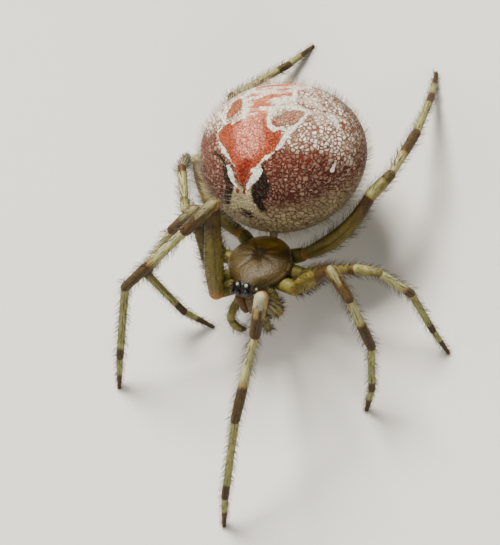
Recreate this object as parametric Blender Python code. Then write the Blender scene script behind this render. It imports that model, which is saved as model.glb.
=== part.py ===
"""A comb-footed spider, Theridion pinastri, life size: a female with a globular, red-banded abdomen.

Sizes are in millimetres, and each mesh is brought to metres when its object is made. +X is the
spider's left, -Y the way it faces and +Z up, and its feet stand on Z = 0. Headings count outwards
from straight ahead towards a leg's own side, so 90 points sideways and 180 backwards. Rises count up
from level. Both are in degrees.
"""

import math

import bmesh
import bpy
from mathutils import Matrix, Vector

MM = 0.001
SEAM = 0.02  # the thin parting between neighbouring pieces
CLOSE = 1e-5  # points nearer than this are one point

# How the front body is carried: its left side a little higher, its head up and turned to its right
BODY_AT = (-0.055, -0.02, 0.90)
BODY_ROLL = 11
BODY_PITCH = 13
BODY_YAW = 14

CARAPACE_WIDTH = 1.08
CARAPACE_FRONT = 0.60
CARAPACE_REAR = 0.55
CARAPACE_TOP = 0.34
CARAPACE_FLOOR = 0.10
CARAPACE_EDGE = 0.03  # half the thickness of the margin
CARAPACE_BULGE = 0.85  # below 1, its cross section is fuller than an ellipse
# Shares of its length where the round part is widest and how far that part reaches from there
THORAX_MIDDLE = 0.60
THORAX_REACH = 0.435
# The head's half width and the shield's height as shares of the largest, from the face back
HEAD_WIDTHS = ((0, 0.36), (0.10, 0.47), (0.55, 0.47), (1, 0.05))
CARAPACE_TOPS = ((0, 0.66), (0.10, 0.93), (0.28, 1.0), (0.62, 0.94), (0.85, 0.78), (1, 0.50))

STERNUM_WIDTH = 0.58
STERNUM_LENGTH = 0.74
STERNUM_TOP = 0.12
STERNUM_DEPTH = 0.24
STERNUM_SHARES = ((0, 0.5), (0.25, 1.0), (0.6, 0.92), (1, 0.28))  # of half its width, from the front
STERNUM_SIDES = 14
COXA_WIDTH = 0.24
COXA_HIDDEN = 0.20  # how far each coxa runs on inwards, into the sternum

CHELICERA_WIDTH = 0.165
CHELICERA_LENGTH = 0.38
CHELICERA_AHEAD = 0.555
CHELICERA_LEAN = (-0.10, -0.16, -1)  # the way each hangs: a little apart and forward
# Its radius, as a share of half its width, down its length
CHELICERA_SHARES = ((0, 1.0), (0.35, 1.02), (0.7, 0.90), (0.92, 0.62))

PALP_WIDTH = 0.14
PALP_SHARES = (1, 1.05, 0.95, 0.88, 0.50)
MAXILLA_ROOT = (0.10, 0.22, -0.06)
EYE_WIDTH = 0.095
EYE_SINK = 0.25  # how far an eye's middle lies under the surface, as a share of its radius

ABDOMEN_AT = (0.19, 1.64, 1.50)
ABDOMEN_WIDTH = 2.72
ABDOMEN_LENGTH = 2.36
ABDOMEN_RISE = 1.14
ABDOMEN_DROP = 1.00
ABDOMEN_ROLL = 14
PEDICEL_WIDTH = 0.15
PEDICEL_ROOT = (0, -0.55, 0.15)
PEDICEL_REACH = 0.45  # how far it goes towards the middle of the abdomen, as a share
SPINNERETS_TURN = 40  # how far behind straight down they stand
SPINNERETS_POINT = (-0.15, 0.5, -1)  # the way they point
SPINNERETS_WIDTH = 0.13
SPINNERET_LENGTH = 0.27
SPINNERET_HIDDEN = 0.15
SPINNERETS_BASE = 0.25

# Each pair's coxa: sideways and ahead of the middle of the front body, and its length with the
# short ring between it and the femur
COXAE = {
    1: (0.30, 0.36, 0.32),
    2: (0.40, 0.13, 0.31),
    3: (0.40, -0.11, 0.27),
    4: (0.31, -0.34, 0.27),
}
PODOMERES = ("femur", "patella", "tibia", "metatarsus", "tarsus")
# Lengths and thicknesses of each pair's podomeres, from the femur out to the tarsus
LENGTHS = {
    1: (1.95, 0.64, 1.45, 1.46, 0.65),
    2: (1.47, 0.51, 0.97, 0.99, 0.55),
    3: (1.00, 0.37, 0.64, 0.75, 0.48),
    4: (1.48, 0.48, 0.98, 1.08, 0.52),
}
THICKNESSES = {
    1: (0.31, 0.21, 0.165, 0.13, 0.10),
    2: (0.27, 0.19, 0.165, 0.125, 0.10),
    3: (0.19, 0.155, 0.145, 0.115, 0.09),
    4: (0.255, 0.19, 0.16, 0.125, 0.095),
}
# How far the middle of a femur bows up, and ahead, of the straight line between its ends
FEMUR_BOW = {1: (0.05, 0.0), 2: (0.05, 0.0), 3: (0.03, 0.0), 4: (0.0, 0.16)}
# The stance: heading and rise of the coxa and of each podomere but the last, which reaches down to
# the ground by itself along its own heading
STANCE = {
    "R1": ((58, 22), (-166, 64), (53, -28), (53, -29), (19, -58), 15),
    "R2": ((56, -9), (163, 58), (55, -28), (44, -42), (-56, -53), -77),
    "R3": ((99, 7), (131, 42), (153, -45), (164, -15), (158, -60), 160),
    "R4": ((140, 14), (142, 1), (-118, -15), (-185, -9), (-135, -21), -143),
    "L1": ((33, 7), (28, 75), (-16, -43), (-16, -35), (-17, -50), -19),
    "L2": ((69, 12), (86, 55), (38, -10), (28, -55), (-17, -65), -41),
    "L3": ((78, 10), (92, 19), (83, 6), (70, -40), (36, -51), 42),
    "L4": ((98, 18), (129, 21), (151, -18), (167, -26), (-179, -38), -174),
}
# The bent line of each palp, from the end of its maxilla beside the mouth to its tip
PALP_LINES = {
    "R": (
        (-0.37, -0.49, 0.82),
        (-0.44, -0.60, 0.76),
        (-0.49, -0.75, 0.64),
        (-0.40, -0.83, 0.50),
        (-0.28, -0.83, 0.40),
    ),
    "L": (
        (-0.05, -0.52, 0.80),
        (0.00, -0.62, 0.72),
        (0.04, -0.72, 0.62),
        (0.07, -0.79, 0.52),
        (0.10, -0.82, 0.42),
    ),
}
# Each kind of eye: how far sideways and ahead it is, its width as a share of EYE_WIDTH, its look
EYES = {
    "AM": (0.080, 0.580, 1.05, "eye black"),
    "AL": (0.197, 0.560, 0.9, "eye pearl"),
    "PM": (0.072, 0.485, 1.0, "eye pearl"),
    "PL": (0.214, 0.470, 0.9, "eye pearl"),
}
# Each look: a colour as red, green and blue, and a roughness
LOOKS = {
    "carapace": ((0.16, 0.085, 0.035), 0.30),
    "leg": ((0.45, 0.33, 0.13), 0.40),
    "leg dark": ((0.05, 0.03, 0.02), 0.35),
    "abdomen": ((0.32, 0.10, 0.07), 0.55),
    "mouth parts": ((0.13, 0.035, 0.015), 0.30),
    "eye pearl": ((0.55, 0.62, 0.50), 0.08),
    "eye black": ((0.01, 0.01, 0.012), 0.08),
}

SIDES = 10


def material(look):
    """The Principled material of one of the looks."""
    made = bpy.data.materials.get(look)
    if made is None:
        colour, roughness = LOOKS[look]
        made = bpy.data.materials.new(look)
        made.use_nodes = True
        shader = made.node_tree.nodes["Principled BSDF"]
        shader.inputs["Base Color"].default_value = (*colour, 1.0)
        shader.inputs["Roughness"].default_value = roughness
        shader.inputs["Metallic"].default_value = 0.0
    return made


def placed(name, bm, look, parent, place=None):
    """An object of the mesh, which is in millimetres about its own base, at a place in its parent."""
    bmesh.ops.recalc_face_normals(bm, faces=bm.faces)
    bm.transform(Matrix.Scale(MM, 4))
    mesh = bpy.data.meshes.new(name)
    bm.to_mesh(mesh)
    bm.free()
    mesh.shade_smooth()
    mesh.set_sharp_from_angle(angle=math.radians(50))
    mesh.materials.append(material(look))
    obj = bpy.data.objects.new(name, mesh)
    bpy.context.scene.collection.objects.link(obj)
    obj.parent = parent
    if place is not None:
        at, turn, _ = place.decompose()
        obj.location = at * MM
        obj.rotation_mode = "QUATERNION"
        obj.rotation_quaternion = turn
    return obj


def towards(heading, rise, side):
    """The unit vector of a heading and a rise on one side of the spider, -1 for the right."""
    h, r = math.radians(heading), math.radians(rise)
    return Vector((side * math.sin(h) * math.cos(r), -math.cos(h) * math.cos(r), math.sin(r)))


def along(at, direction):
    """A frame at a point with Z along the direction, X as far up as it can be."""
    z = direction.normalized()
    x = (Vector((0, 0, 1)) - z * z.z).normalized()
    y = z.cross(x)
    turn = Matrix((x, y, z)).transposed().to_4x4()
    return Matrix.Translation(at) @ turn


def turned(profile, sides=SIDES):
    """A closed solid turned about Z from (radius, height) points, whose two ends lie on the axis."""
    bm = bmesh.new()
    verts = [bm.verts.new((radius, 0, height)) for radius, height in profile]
    edges = [bm.edges.new(pair) for pair in zip(verts, verts[1:])]
    bmesh.ops.spin(
        bm,
        geom=verts + edges,
        cent=(0, 0, 0),
        axis=(0, 0, 1),
        angle=math.tau,
        steps=sides,
        use_merge=True,
    )
    bmesh.ops.remove_doubles(bm, verts=bm.verts, dist=CLOSE)
    return bm


def trimmed(bm, at, normal):
    """Cuts away what lies beyond a plane and closes the cut with a flat face."""
    everything = bm.verts[:] + bm.edges[:] + bm.faces[:]
    bmesh.ops.bisect_plane(
        bm, geom=everything, dist=CLOSE, plane_co=at, plane_no=normal, clear_outer=True
    )
    rim = [edge for edge in bm.edges if edge.is_boundary]
    bmesh.ops.holes_fill(bm, edges=rim, sides=0)


def lofted(rings):
    """A closed solid through rings of points, each ring having as many points, with capped ends."""
    bm = bmesh.new()
    loops = [[bm.verts.new(point) for point in ring] for ring in rings]
    for loop in loops:
        for a, b in zip(loop, loop[1:] + loop[:1]):
            bm.edges.new((a, b))
    for first, second in zip(loops, loops[1:]):
        for i in range(len(first)):
            j = (i + 1) % len(first)
            bm.faces.new((first[i], first[j], second[j], second[i]))
    bm.faces.new(loops[0])
    bm.faces.new(loops[-1])
    return bm


def blend(stations, t):
    """The smooth value at t of (t, value) stations."""
    for (t0, v0), (t1, v1) in zip(stations, stations[1:]):
        if t <= t1:
            s = (t - t0) / (t1 - t0)
            s = s * s * (3 - 2 * s)
            return v0 + (v1 - v0) * s
    return stations[-1][1]


def podomere_profile(kind, length, thick, next_thick):
    """(radius, height) points of one leg segment: ball ends about its two joints, a belly between."""
    middle = thick / 2
    end = next_thick / 2
    bellies = {
        "femur": ((0, 0.80), (0.35, 1.0), (0.80, 0.86), (1, 0.80)),
        "patella": ((0, 0.84), (0.5, 1.0), (1, 0.86)),
        "tibia": ((0, 0.86), (0.25, 0.90), (0.80, 1.0), (1, 0.90)),
        "metatarsus": ((0, 1.05), (0.5, 0.95), (1, 0.92)),
        "tarsus": ((0, 1.05), (0.4, 0.98), (1, 0.62)),
    }[kind]
    floor_share = end / middle if kind in ("femur", "patella") else 0
    steps = {"femur": 7, "patella": 4, "tibia": 6, "metatarsus": 5, "tarsus": 4}[kind]
    points = []
    for i in range(steps + 1):
        t = i / steps
        share = max(blend(bellies, t), floor_share if t > 0.9 else 0)
        points.append((middle * share, length * t))
    start, last = points[0][0], points[-1][0]
    ball = (math.radians(55), math.radians(25))
    before = [(start * math.cos(a), -start * math.sin(a)) for a in ball]
    after = [(last * math.cos(a), length + last * math.sin(a)) for a in reversed(ball)]
    return [(0, -start), *before, *points, *after, (0, length + last)]


def bowed(bm, length, up, ahead):
    """Bends a segment along Z so that its middle stands off its straight line."""
    for vert in bm.verts:
        t = min(max(vert.co.z / length, 0), 1)
        swell = 4 * t * (1 - t)
        vert.co.x += up * swell
        vert.co.y += ahead * swell


def parting(frame, joint, before, after, keep_after):
    """The plane between two segments that meet at a joint, in the frame of the one that is kept."""
    normal = (before.normalized() + after.normalized()).normalized()
    if keep_after:
        normal = -normal
    inverse = frame.inverted()
    at = inverse @ (joint - normal * (SEAM / 2))
    return at, inverse.to_3x3() @ normal


def joints_of(leg, body):
    """The points and directions of a leg, from the root of its coxa to its tip on the ground."""
    side = -1 if leg[0] == "R" else 1
    sideways, ahead, coxa_length = COXAE[int(leg[1])]
    root = body @ Vector((side * sideways, -ahead, 0))
    *turns, last_heading = STANCE[leg]
    lengths = (coxa_length, *LENGTHS[int(leg[1])])
    points = [root]
    for (heading, rise), length in zip(turns, lengths):
        points.append(points[-1] + towards(heading, rise, side) * length)
    drop = math.degrees(math.asin(points[-1].z / lengths[-1]))
    points.append(points[-1] + towards(last_heading, -drop, side) * lengths[-1])
    directions = [b - a for a, b in zip(points, points[1:])]
    return points, directions


def make_leg(leg, body, parent):
    """The five free podomeres of one leg, each parted from the next across their joint."""
    pair = int(leg[1])
    side = -1 if leg[0] == "R" else 1
    points, directions = joints_of(leg, body)
    thick = THICKNESSES[pair]
    for i, kind in enumerate(PODOMERES):
        start, end = points[i + 1], points[i + 2]
        direction = directions[i + 1]
        length = direction.length
        frame = along(start, direction)
        bm = turned(podomere_profile(kind, length, thick[i], thick[min(i + 1, 4)]))
        if kind == "femur":
            up, ahead = FEMUR_BOW[pair]
            bowed(bm, length, up, side * ahead)
        trimmed(bm, *parting(frame, start, directions[i], direction, keep_after=True))
        if kind == "tarsus":
            inverse = frame.inverted()
            trimmed(bm, inverse @ Vector((end.x, end.y, 0)), inverse.to_3x3() @ Vector((0, 0, -1)))
        else:
            trimmed(bm, *parting(frame, end, direction, directions[i + 2], keep_after=False))
        look = "leg dark" if kind == "tarsus" else "leg"
        placed(f"leg_{leg}_{kind}", bm, look, parent, frame)


def carapace_form(y, grow=0):
    """The half width and the height of the carapace across its length, larger by a length."""
    t = min(max((y + CARAPACE_FRONT) / (CARAPACE_FRONT + CARAPACE_REAR), 0), 1)
    thorax = math.sqrt(max(0, 1 - ((t - THORAX_MIDDLE) / THORAX_REACH) ** 2))
    share = (thorax**4 + blend(HEAD_WIDTHS, t) ** 4) ** 0.25
    half_width = CARAPACE_WIDTH / 2 * share + grow
    height = (CARAPACE_TOP - CARAPACE_FLOOR) * blend(CARAPACE_TOPS, t)
    return half_width, height


def carapace_ring(y, grow, count=18):
    """A ring across the carapace: a dome above the margin and an almost flat underside."""
    half_width, height = carapace_form(y, grow)
    margin = CARAPACE_FLOOR + CARAPACE_EDGE
    ring = []
    for i in range(count):
        c, s = math.cos(math.tau * i / count), math.sin(math.tau * i / count)
        rise = (height if s >= 0 else 2 * CARAPACE_EDGE) - CARAPACE_EDGE + grow
        ring.append((half_width * math.copysign(abs(c) ** CARAPACE_BULGE, c), y, margin + rise * s))
    return ring


def make_carapace(name, parent, grow=0):
    """The pear-shaped shield: a blunt raised head in front, a rounder and lower part behind."""
    front, rear = CARAPACE_FRONT + grow, CARAPACE_REAR + grow
    rings = []
    for t in (0, 0.035, 0.09, 0.16, 0.25, 0.35, 0.45, 0.55, 0.65, 0.75, 0.85, 0.93, 1):
        rings.append(carapace_ring(-front + (front + rear) * t, grow))
    return placed(name, lofted(rings), "carapace", parent)


def on_carapace(sideways, ahead, sink):
    """A point of the carapace's upper surface, let in by a length."""
    half_width, height = carapace_form(-ahead)
    share = min(abs(sideways) / half_width, 1) ** (1 / CARAPACE_BULGE)
    rise = (height - CARAPACE_EDGE) * math.sqrt(1 - share**2)
    return Vector((sideways, -ahead, CARAPACE_FLOOR + CARAPACE_EDGE + rise - sink))


def applied(obj):
    """The object with its modifiers made part of its mesh."""
    bpy.context.view_layer.update()
    graph = bpy.context.evaluated_depsgraph_get()
    mesh = bpy.data.meshes.new_from_object(obj.evaluated_get(graph))
    obj.modifiers.clear()
    obj.data = mesh
    return obj


def joined(name, pieces):
    """One closed object from overlapping closed ones, the first of which it stands for."""
    first, *others = pieces
    collection = bpy.data.collections.new(name + " pieces")
    bpy.context.scene.collection.children.link(collection)
    for other in others:
        bpy.context.scene.collection.objects.unlink(other)
        collection.objects.link(other)
    union = first.modifiers.new("union", "BOOLEAN")
    union.operation = "UNION"
    union.operand_type = "COLLECTION"
    union.collection = collection
    applied(first)
    first.name = name
    for other in others:
        bpy.data.objects.remove(other)
    bpy.data.collections.remove(collection)
    return first


def cut_by(obj, cutters):
    """Cuts closed objects out of another, and removes them."""
    for cutter in cutters:
        cut = obj.modifiers.new(cutter.name, "BOOLEAN")
        cut.operation = "DIFFERENCE"
        cut.object = cutter
    applied(obj)
    for cutter in cutters:
        bpy.data.objects.remove(cutter)


def stub(start, end, radius):
    """A frame and a closed turned stub from one point to a little past another."""
    frame = along(start, end - start)
    length = (end - start).length
    profile = [(0, -0.5 * radius), (0.8 * radius, 0), (radius, 0.35 * length), (radius, 0.7 * length)]
    profile += [(0.92 * radius, length), (0.6 * radius, length + 0.6 * radius), (0, length + 0.9 * radius)]
    return frame, turned(profile)


def make_underside(body, parent):
    """The sternum with the eight coxae and the two maxillae round it, fitted under the carapace."""
    rings = []
    for t in (0, 0.08, 0.25, 0.5, 0.75, 0.93, 1):
        edge = 0.75 if t in (0, 1) else 1
        half = STERNUM_WIDTH / 2 * blend(STERNUM_SHARES, t) * edge
        ring = []
        for i in range(STERNUM_SIDES):
            angle = math.tau * i / STERNUM_SIDES
            depth = STERNUM_TOP if math.sin(angle) > 0 else STERNUM_DEPTH * edge
            y = STERNUM_LENGTH * (t - 0.5)
            ring.append((half * math.cos(angle), y, depth * math.sin(angle)))
        rings.append(ring)
    pieces = [placed("sternum", lofted(rings), "leg", parent)]
    for leg in STANCE:
        points, directions = joints_of(leg, body)
        inner = points[0] - directions[0].normalized() * COXA_HIDDEN
        frame, bm = stub(inner, points[1], COXA_WIDTH / 2)
        trimmed(bm, *parting(frame, points[1], directions[0], directions[1], keep_after=False))
        pieces.append(placed(f"coxa_{leg}", bm, "leg", parent, body.inverted() @ frame))
    for name, line in PALP_LINES.items():
        inner, end, ahead = maxilla_line(name, body)
        frame, bm = stub(inner, end, PALP_WIDTH / 2)
        trimmed(bm, *parting(frame, end, end - inner, ahead, keep_after=False))
        pieces.append(placed(f"maxilla_{name}", bm, "leg", parent, body.inverted() @ frame))
    under = joined("sternum", pieces)
    cut_by(under, [make_carapace("clearance", parent, grow=SEAM)])


def maxilla_line(name, body):
    """The two ends of a maxilla and the way its palp goes on from it."""
    side = -1 if name == "R" else 1
    sideways, ahead, up = MAXILLA_ROOT
    first, second = (Vector(point) for point in PALP_LINES[name][:2])
    return body @ Vector((side * sideways, -ahead, up)), first, second - first


def make_chelicerae(parent):
    """The two jaws side by side under the face, each a stout taper with its fang folded at the tip."""
    radius = CHELICERA_WIDTH / 2
    for side, name in ((-1, "R"), (1, "L")):
        apart, forward, down = CHELICERA_LEAN
        at = Vector((side * (radius + SEAM / 2), -CHELICERA_AHEAD, CARAPACE_FLOOR))
        frame = along(at, Vector((apart * side, forward, down)))
        profile = [(0, -radius), (0.7 * radius, -0.7 * radius)]
        profile += [(radius * share, CHELICERA_LENGTH * t) for t, share in CHELICERA_SHARES]
        bm = turned([*profile, (0, CHELICERA_LENGTH)])
        inverse = frame.inverted()
        turn = inverse.to_3x3()
        top = CARAPACE_FLOOR - SEAM
        trimmed(bm, inverse @ Vector((0, 0, top)), turn @ Vector((0, 0, 1)))
        trimmed(bm, inverse @ Vector((side * SEAM / 2, 0, 0)), turn @ Vector((-side, 0, 0)))
        placed(f"chelicera_{name}", bm, "mouth parts", parent, frame)


def swept(line, radii, sides=SIDES):
    """A closed tube of round rings along a bent line, with rounded ends."""
    points = [Vector(point) for point in line]
    last = len(points) - 1
    end = 0.7  # a narrower ring this share of the radius beyond each end rounds it
    rings = []
    for i, (point, radius) in enumerate(zip(points, radii)):
        frame = along(point, points[min(i + 1, last)] - points[max(i - 1, 0)])
        lifts = [(0, radius)]
        if i == 0:
            lifts.insert(0, (-end * radius, 0.55 * radius))
        if i == last:
            lifts.append((end * radius, 0.55 * radius))
        for lift, wide in lifts:
            angles = [math.tau * k / sides for k in range(sides)]
            ring = [Vector((wide * math.cos(a), wide * math.sin(a), lift)) for a in angles]
            rings.append([frame @ corner for corner in ring])
    return lofted(rings)


def make_palps(body, parent):
    """The two short feelers that curve round in front of the jaws."""
    radii = [PALP_WIDTH / 2 * share for share in PALP_SHARES]
    for name, line in PALP_LINES.items():
        inner, end, ahead = maxilla_line(name, body)
        bm = swept(line, radii)
        trimmed(bm, *parting(Matrix(), end, end - inner, ahead, keep_after=True))
        placed(f"palp_{name}", bm, "leg", parent)


def make_eyes(carapace, parent):
    """Eight small round lenses in two rows, each let into a socket of its own in the head."""
    sockets = []
    for kind, (sideways, ahead, share, look) in EYES.items():
        radius = EYE_WIDTH / 2 * share
        for side, name in ((-1, "R"), (1, "L")):
            place = Matrix.Translation(on_carapace(side * sideways, ahead, EYE_SINK * radius))
            for ball, size in ((f"eye_{kind}_{name}", radius), (f"socket_{kind}_{name}", radius + SEAM)):
                bm = bmesh.new()
                bmesh.ops.create_icosphere(bm, subdivisions=2, radius=size)
                made = placed(ball, bm, look, parent, place)
            sockets.append(made)
    cut_by(carapace, sockets)


def abdomen_point(x, y, z, grow=0):
    """A point of the abdomen from one of a unit ball: fuller behind, drawn in underneath."""
    under = max(0, -z)
    height = (ABDOMEN_RISE if z > 0 else ABDOMEN_DROP) + grow
    half_width = (ABDOMEN_WIDTH / 2 + grow) * (1 + 0.05 * y) * (1 - 0.10 * under**2)
    half_length = (ABDOMEN_LENGTH / 2 + grow) * (1 - 0.04 * under)
    return Vector((x * half_width, y * half_length, z * height))


def globe(name, parent, grow=0):
    """The abdomen's plain form, larger all round by a length."""
    bm = bmesh.new()
    bmesh.ops.create_uvsphere(bm, u_segments=40, v_segments=22, radius=1)
    for vert in bm.verts:
        vert.co = abdomen_point(*vert.co, grow)
    tilt = Matrix.Rotation(-math.radians(ABDOMEN_ROLL), 4, "Y")
    return placed(name, bm, "abdomen", parent, Matrix.Translation(ABDOMEN_AT) @ tilt)


def make_abdomen(body, parent):
    """The globular abdomen with the short stalk that carries it, fused at its lower front."""
    root = body @ Vector((PEDICEL_ROOT[0], -PEDICEL_ROOT[1], PEDICEL_ROOT[2]))
    back = (body.to_3x3() @ Vector((0, 1, 0))).normalized()
    end = root + (Vector(ABDOMEN_AT) - root) * PEDICEL_REACH
    frame, bm = stub(root, end, PEDICEL_WIDTH / 2)
    inverse = frame.inverted()
    trimmed(bm, inverse @ (root + back * SEAM), inverse.to_3x3() @ -back)
    stalk = placed("pedicel", bm, "abdomen", parent, frame)
    joined("abdomen", [globe("abdomen", parent), stalk])


def make_spinnerets(parent):
    """The group of short spinning tubes under the abdomen's rear, on one low base."""
    turn = math.radians(SPINNERETS_TURN)
    out = Vector((0, math.sin(turn), -math.cos(turn)))
    foot = Matrix.Rotation(-math.radians(ABDOMEN_ROLL), 4, "Y") @ abdomen_point(*out)
    foot += Vector(ABDOMEN_AT)
    down = Vector(SPINNERETS_POINT).normalized()
    sideways = down.cross(Vector((0, 0, 1))).normalized()
    fore = down.cross(sideways)
    pieces = []
    for i in range(6):
        angle = math.tau * (i + 0.5) / 6
        lean = sideways * math.cos(angle) + fore * math.sin(angle)
        start = foot + lean * SPINNERETS_WIDTH * 0.42 - down * SPINNERET_HIDDEN
        end = start + (down + lean * 0.10) * SPINNERET_LENGTH
        frame, bm = stub(start, end, SPINNERETS_WIDTH * 0.32)
        pieces.append(placed(f"spinneret_{i}", bm, "abdomen", parent, frame))
    start = foot - down * 0.8 * SPINNERETS_BASE
    frame, bm = stub(start, start + down * SPINNERETS_BASE, SPINNERETS_WIDTH * 0.8)
    pieces.append(placed("spinneret_base", bm, "abdomen", parent, frame))
    group = joined("spinnerets", pieces)
    cut_by(group, [globe("clearance", parent, grow=SEAM)])


def centre(stance):
    """Moves the whole so that the middle of its underside is the origin."""
    bpy.context.view_layer.update()
    meshes = [obj for obj in bpy.context.scene.objects if obj.type == "MESH"]
    points = [obj.matrix_world @ vert.co for obj in meshes for vert in obj.data.vertices]
    low = [min(point[i] for point in points) for i in range(3)]
    high = [max(point[i] for point in points) for i in range(3)]
    stance.location = (-(low[0] + high[0]) / 2, -(low[1] + high[1]) / 2, -low[2])


def make_spider():
    stance = bpy.data.objects.new("spider", None)
    bpy.context.scene.collection.objects.link(stance)
    body = (
        Matrix.Translation(BODY_AT)
        @ Matrix.Rotation(-math.radians(BODY_YAW), 4, "Z")
        @ Matrix.Rotation(-math.radians(BODY_PITCH), 4, "X")
        @ Matrix.Rotation(-math.radians(BODY_ROLL), 4, "Y")
    )
    front = bpy.data.objects.new("front body", None)
    bpy.context.scene.collection.objects.link(front)
    front.parent = stance
    at, turn, _ = body.decompose()
    front.location = at * MM
    front.rotation_mode = "QUATERNION"
    front.rotation_quaternion = turn
    carapace = make_carapace("carapace", front)
    make_eyes(carapace, front)
    make_underside(body, front)
    make_chelicerae(front)
    make_palps(body, stance)
    make_abdomen(body, stance)
    make_spinnerets(stance)
    for leg in STANCE:
        make_leg(leg, body, stance)
    centre(stance)


for old in list(bpy.data.objects):
    bpy.data.objects.remove(old)
make_spider()
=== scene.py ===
"""The look of a life-size comb-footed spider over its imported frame.

Shapes are worked out in millimetres in the frame of the part's own stance and brought to metres when
their mesh is finished. +X is the spider's left, -Y the way it faces and +Z up.
"""

import math

import bmesh
import bpy
import numpy as np
from mathutils import Matrix, Vector


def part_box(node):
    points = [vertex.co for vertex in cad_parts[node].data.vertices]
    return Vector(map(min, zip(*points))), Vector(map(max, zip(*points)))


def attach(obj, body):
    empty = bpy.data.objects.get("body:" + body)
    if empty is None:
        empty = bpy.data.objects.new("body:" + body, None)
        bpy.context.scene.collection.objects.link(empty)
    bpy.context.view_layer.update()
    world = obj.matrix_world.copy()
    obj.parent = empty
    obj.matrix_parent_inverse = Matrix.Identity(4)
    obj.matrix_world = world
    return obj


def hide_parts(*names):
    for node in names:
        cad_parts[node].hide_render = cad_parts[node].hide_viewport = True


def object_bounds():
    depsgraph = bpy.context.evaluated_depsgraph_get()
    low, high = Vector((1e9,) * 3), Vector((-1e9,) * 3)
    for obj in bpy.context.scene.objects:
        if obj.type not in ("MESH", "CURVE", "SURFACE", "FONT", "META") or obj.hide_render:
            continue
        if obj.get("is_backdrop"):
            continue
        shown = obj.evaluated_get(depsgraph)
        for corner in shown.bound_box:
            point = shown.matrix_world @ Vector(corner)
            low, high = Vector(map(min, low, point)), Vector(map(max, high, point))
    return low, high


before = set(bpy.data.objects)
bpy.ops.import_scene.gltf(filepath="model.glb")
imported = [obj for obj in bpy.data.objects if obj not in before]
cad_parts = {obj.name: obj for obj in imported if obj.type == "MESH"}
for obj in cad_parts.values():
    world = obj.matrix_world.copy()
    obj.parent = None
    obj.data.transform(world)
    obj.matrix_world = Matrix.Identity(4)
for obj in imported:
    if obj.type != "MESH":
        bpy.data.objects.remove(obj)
cad_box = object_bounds()


# Carapace: the hard shield over the front body, a pear-shaped dome of thin brown cuticle, blunt and
# raised in front where the eyes stand. A pit and shallow grooves mark the muscles that hold inside.
MM = 0.001
BODY_AT = (-0.055, -0.02, 0.90)
BODY_ROLL, BODY_PITCH, BODY_YAW = 11, 13, 14
CARAPACE_WIDTH = 1.08
CARAPACE_FRONT = 0.60
CARAPACE_REAR = 0.55
CARAPACE_TOP = 0.34
CARAPACE_FLOOR = 0.10
CARAPACE_EDGE = 0.03
THORAX_MIDDLE = 0.60
THORAX_REACH = 0.435
HEAD_WIDTHS = ((0, 0.36), (0.10, 0.47), (0.55, 0.47), (1, 0.05))
CARAPACE_TOPS = ((0, 0.66), (0.10, 0.93), (0.28, 1.0), (0.62, 0.94), (0.85, 0.78), (1, 0.50))
CARAPACE_MESH = (128, 96)
# How full the shield's cross section and its two ends are: smaller is squarer
SQUARED = 0.85
BLUNT = 0.22
FOVEA_BACK = 0.13
FOVEA_DEPTH = 0.060
FOVEA_WIDTH = 0.100
FOVEA_NARROWING = 1.6
# Angles of the grooves from straight ahead, at both sides of the pit
GROOVES = (32, 72, 104, 136)
GROOVE_DEPTH = 0.026
GROOVE_WIDTH = 0.034
GROOVE_START = 0.16
GROOVE_REACH = 0.66
# The painted highlight along the rim stands at this many degrees round the shield's edge, this many wide
RIM_HIGHLIGHT_AT = 17
RIM_HIGHLIGHT_WIDTH = 6
EYE_MOUND = 0.016
EYE_MOUND_WIDTH = 0.085
EYE_WIDTH = 0.095
EYE_SINK = 0.25
EYE_MESH = (32, 24)
# Each kind of eye: sideways and ahead of the middle, and its width as a share of EYE_WIDTH
EYES = {
    "AM": (0.080, 0.580, 1.05),
    "AL": (0.197, 0.560, 0.9),
    "PM": (0.072, 0.485, 1.0),
    "PL": (0.214, 0.470, 0.9),
}

# The signs along X of the spider's right and left
SIDES = {"R": -1, "L": 1}

body = (
    Matrix.Translation(BODY_AT)
    @ Matrix.Rotation(-math.radians(BODY_YAW), 4, "Z")
    @ Matrix.Rotation(-math.radians(BODY_PITCH), 4, "X")
    @ Matrix.Rotation(-math.radians(BODY_ROLL), 4, "Y")
)


def blend(stations, t):
    """The smooth value at t of (t, value) stations."""
    for (t0, v0), (t1, v1) in zip(stations, stations[1:]):
        if t <= t1:
            s = max((t - t0) / (t1 - t0), 0)
            return v0 + (v1 - v0) * s * s * (3 - 2 * s)
    return stations[-1][1]


def carapace_form(y):
    """The half width and the height of the carapace across its length."""
    t = min(max((y + CARAPACE_FRONT) / (CARAPACE_FRONT + CARAPACE_REAR), 0), 1)
    thorax = math.sqrt(max(0, 1 - ((t - THORAX_MIDDLE) / THORAX_REACH) ** 2))
    half_width = CARAPACE_WIDTH / 2 * (thorax**4 + blend(HEAD_WIDTHS, t) ** 4) ** 0.25
    return half_width, (CARAPACE_TOP - CARAPACE_FLOOR) * blend(CARAPACE_TOPS, t)


def on_carapace(sideways, ahead, sink=0):
    """A point of the carapace's upper surface in the front body's frame, let in by a length."""
    half_width, height = carapace_form(-ahead)
    share = min(abs(sideways) / half_width, 1) ** (1 / SQUARED)
    rise = (height - CARAPACE_EDGE) * math.sqrt(1 - share**2)
    return Vector((sideways, -ahead, CARAPACE_FLOOR + CARAPACE_EDGE + rise - sink))


def eye_middle(kind, side):
    sideways, ahead, share = EYES[kind]
    return on_carapace(side * sideways, ahead, EYE_SINK * EYE_WIDTH / 2 * share)


low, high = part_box("eye_PM_R")
HOME = (Vector(low) + Vector(high)) / 2 / MM - body @ eye_middle("PM", -1)


def linked(name, data):
    """An object of some data, in the scene's own collection."""
    made = bpy.data.objects.new(name, data)
    bpy.context.scene.collection.objects.link(made)
    return made


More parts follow.
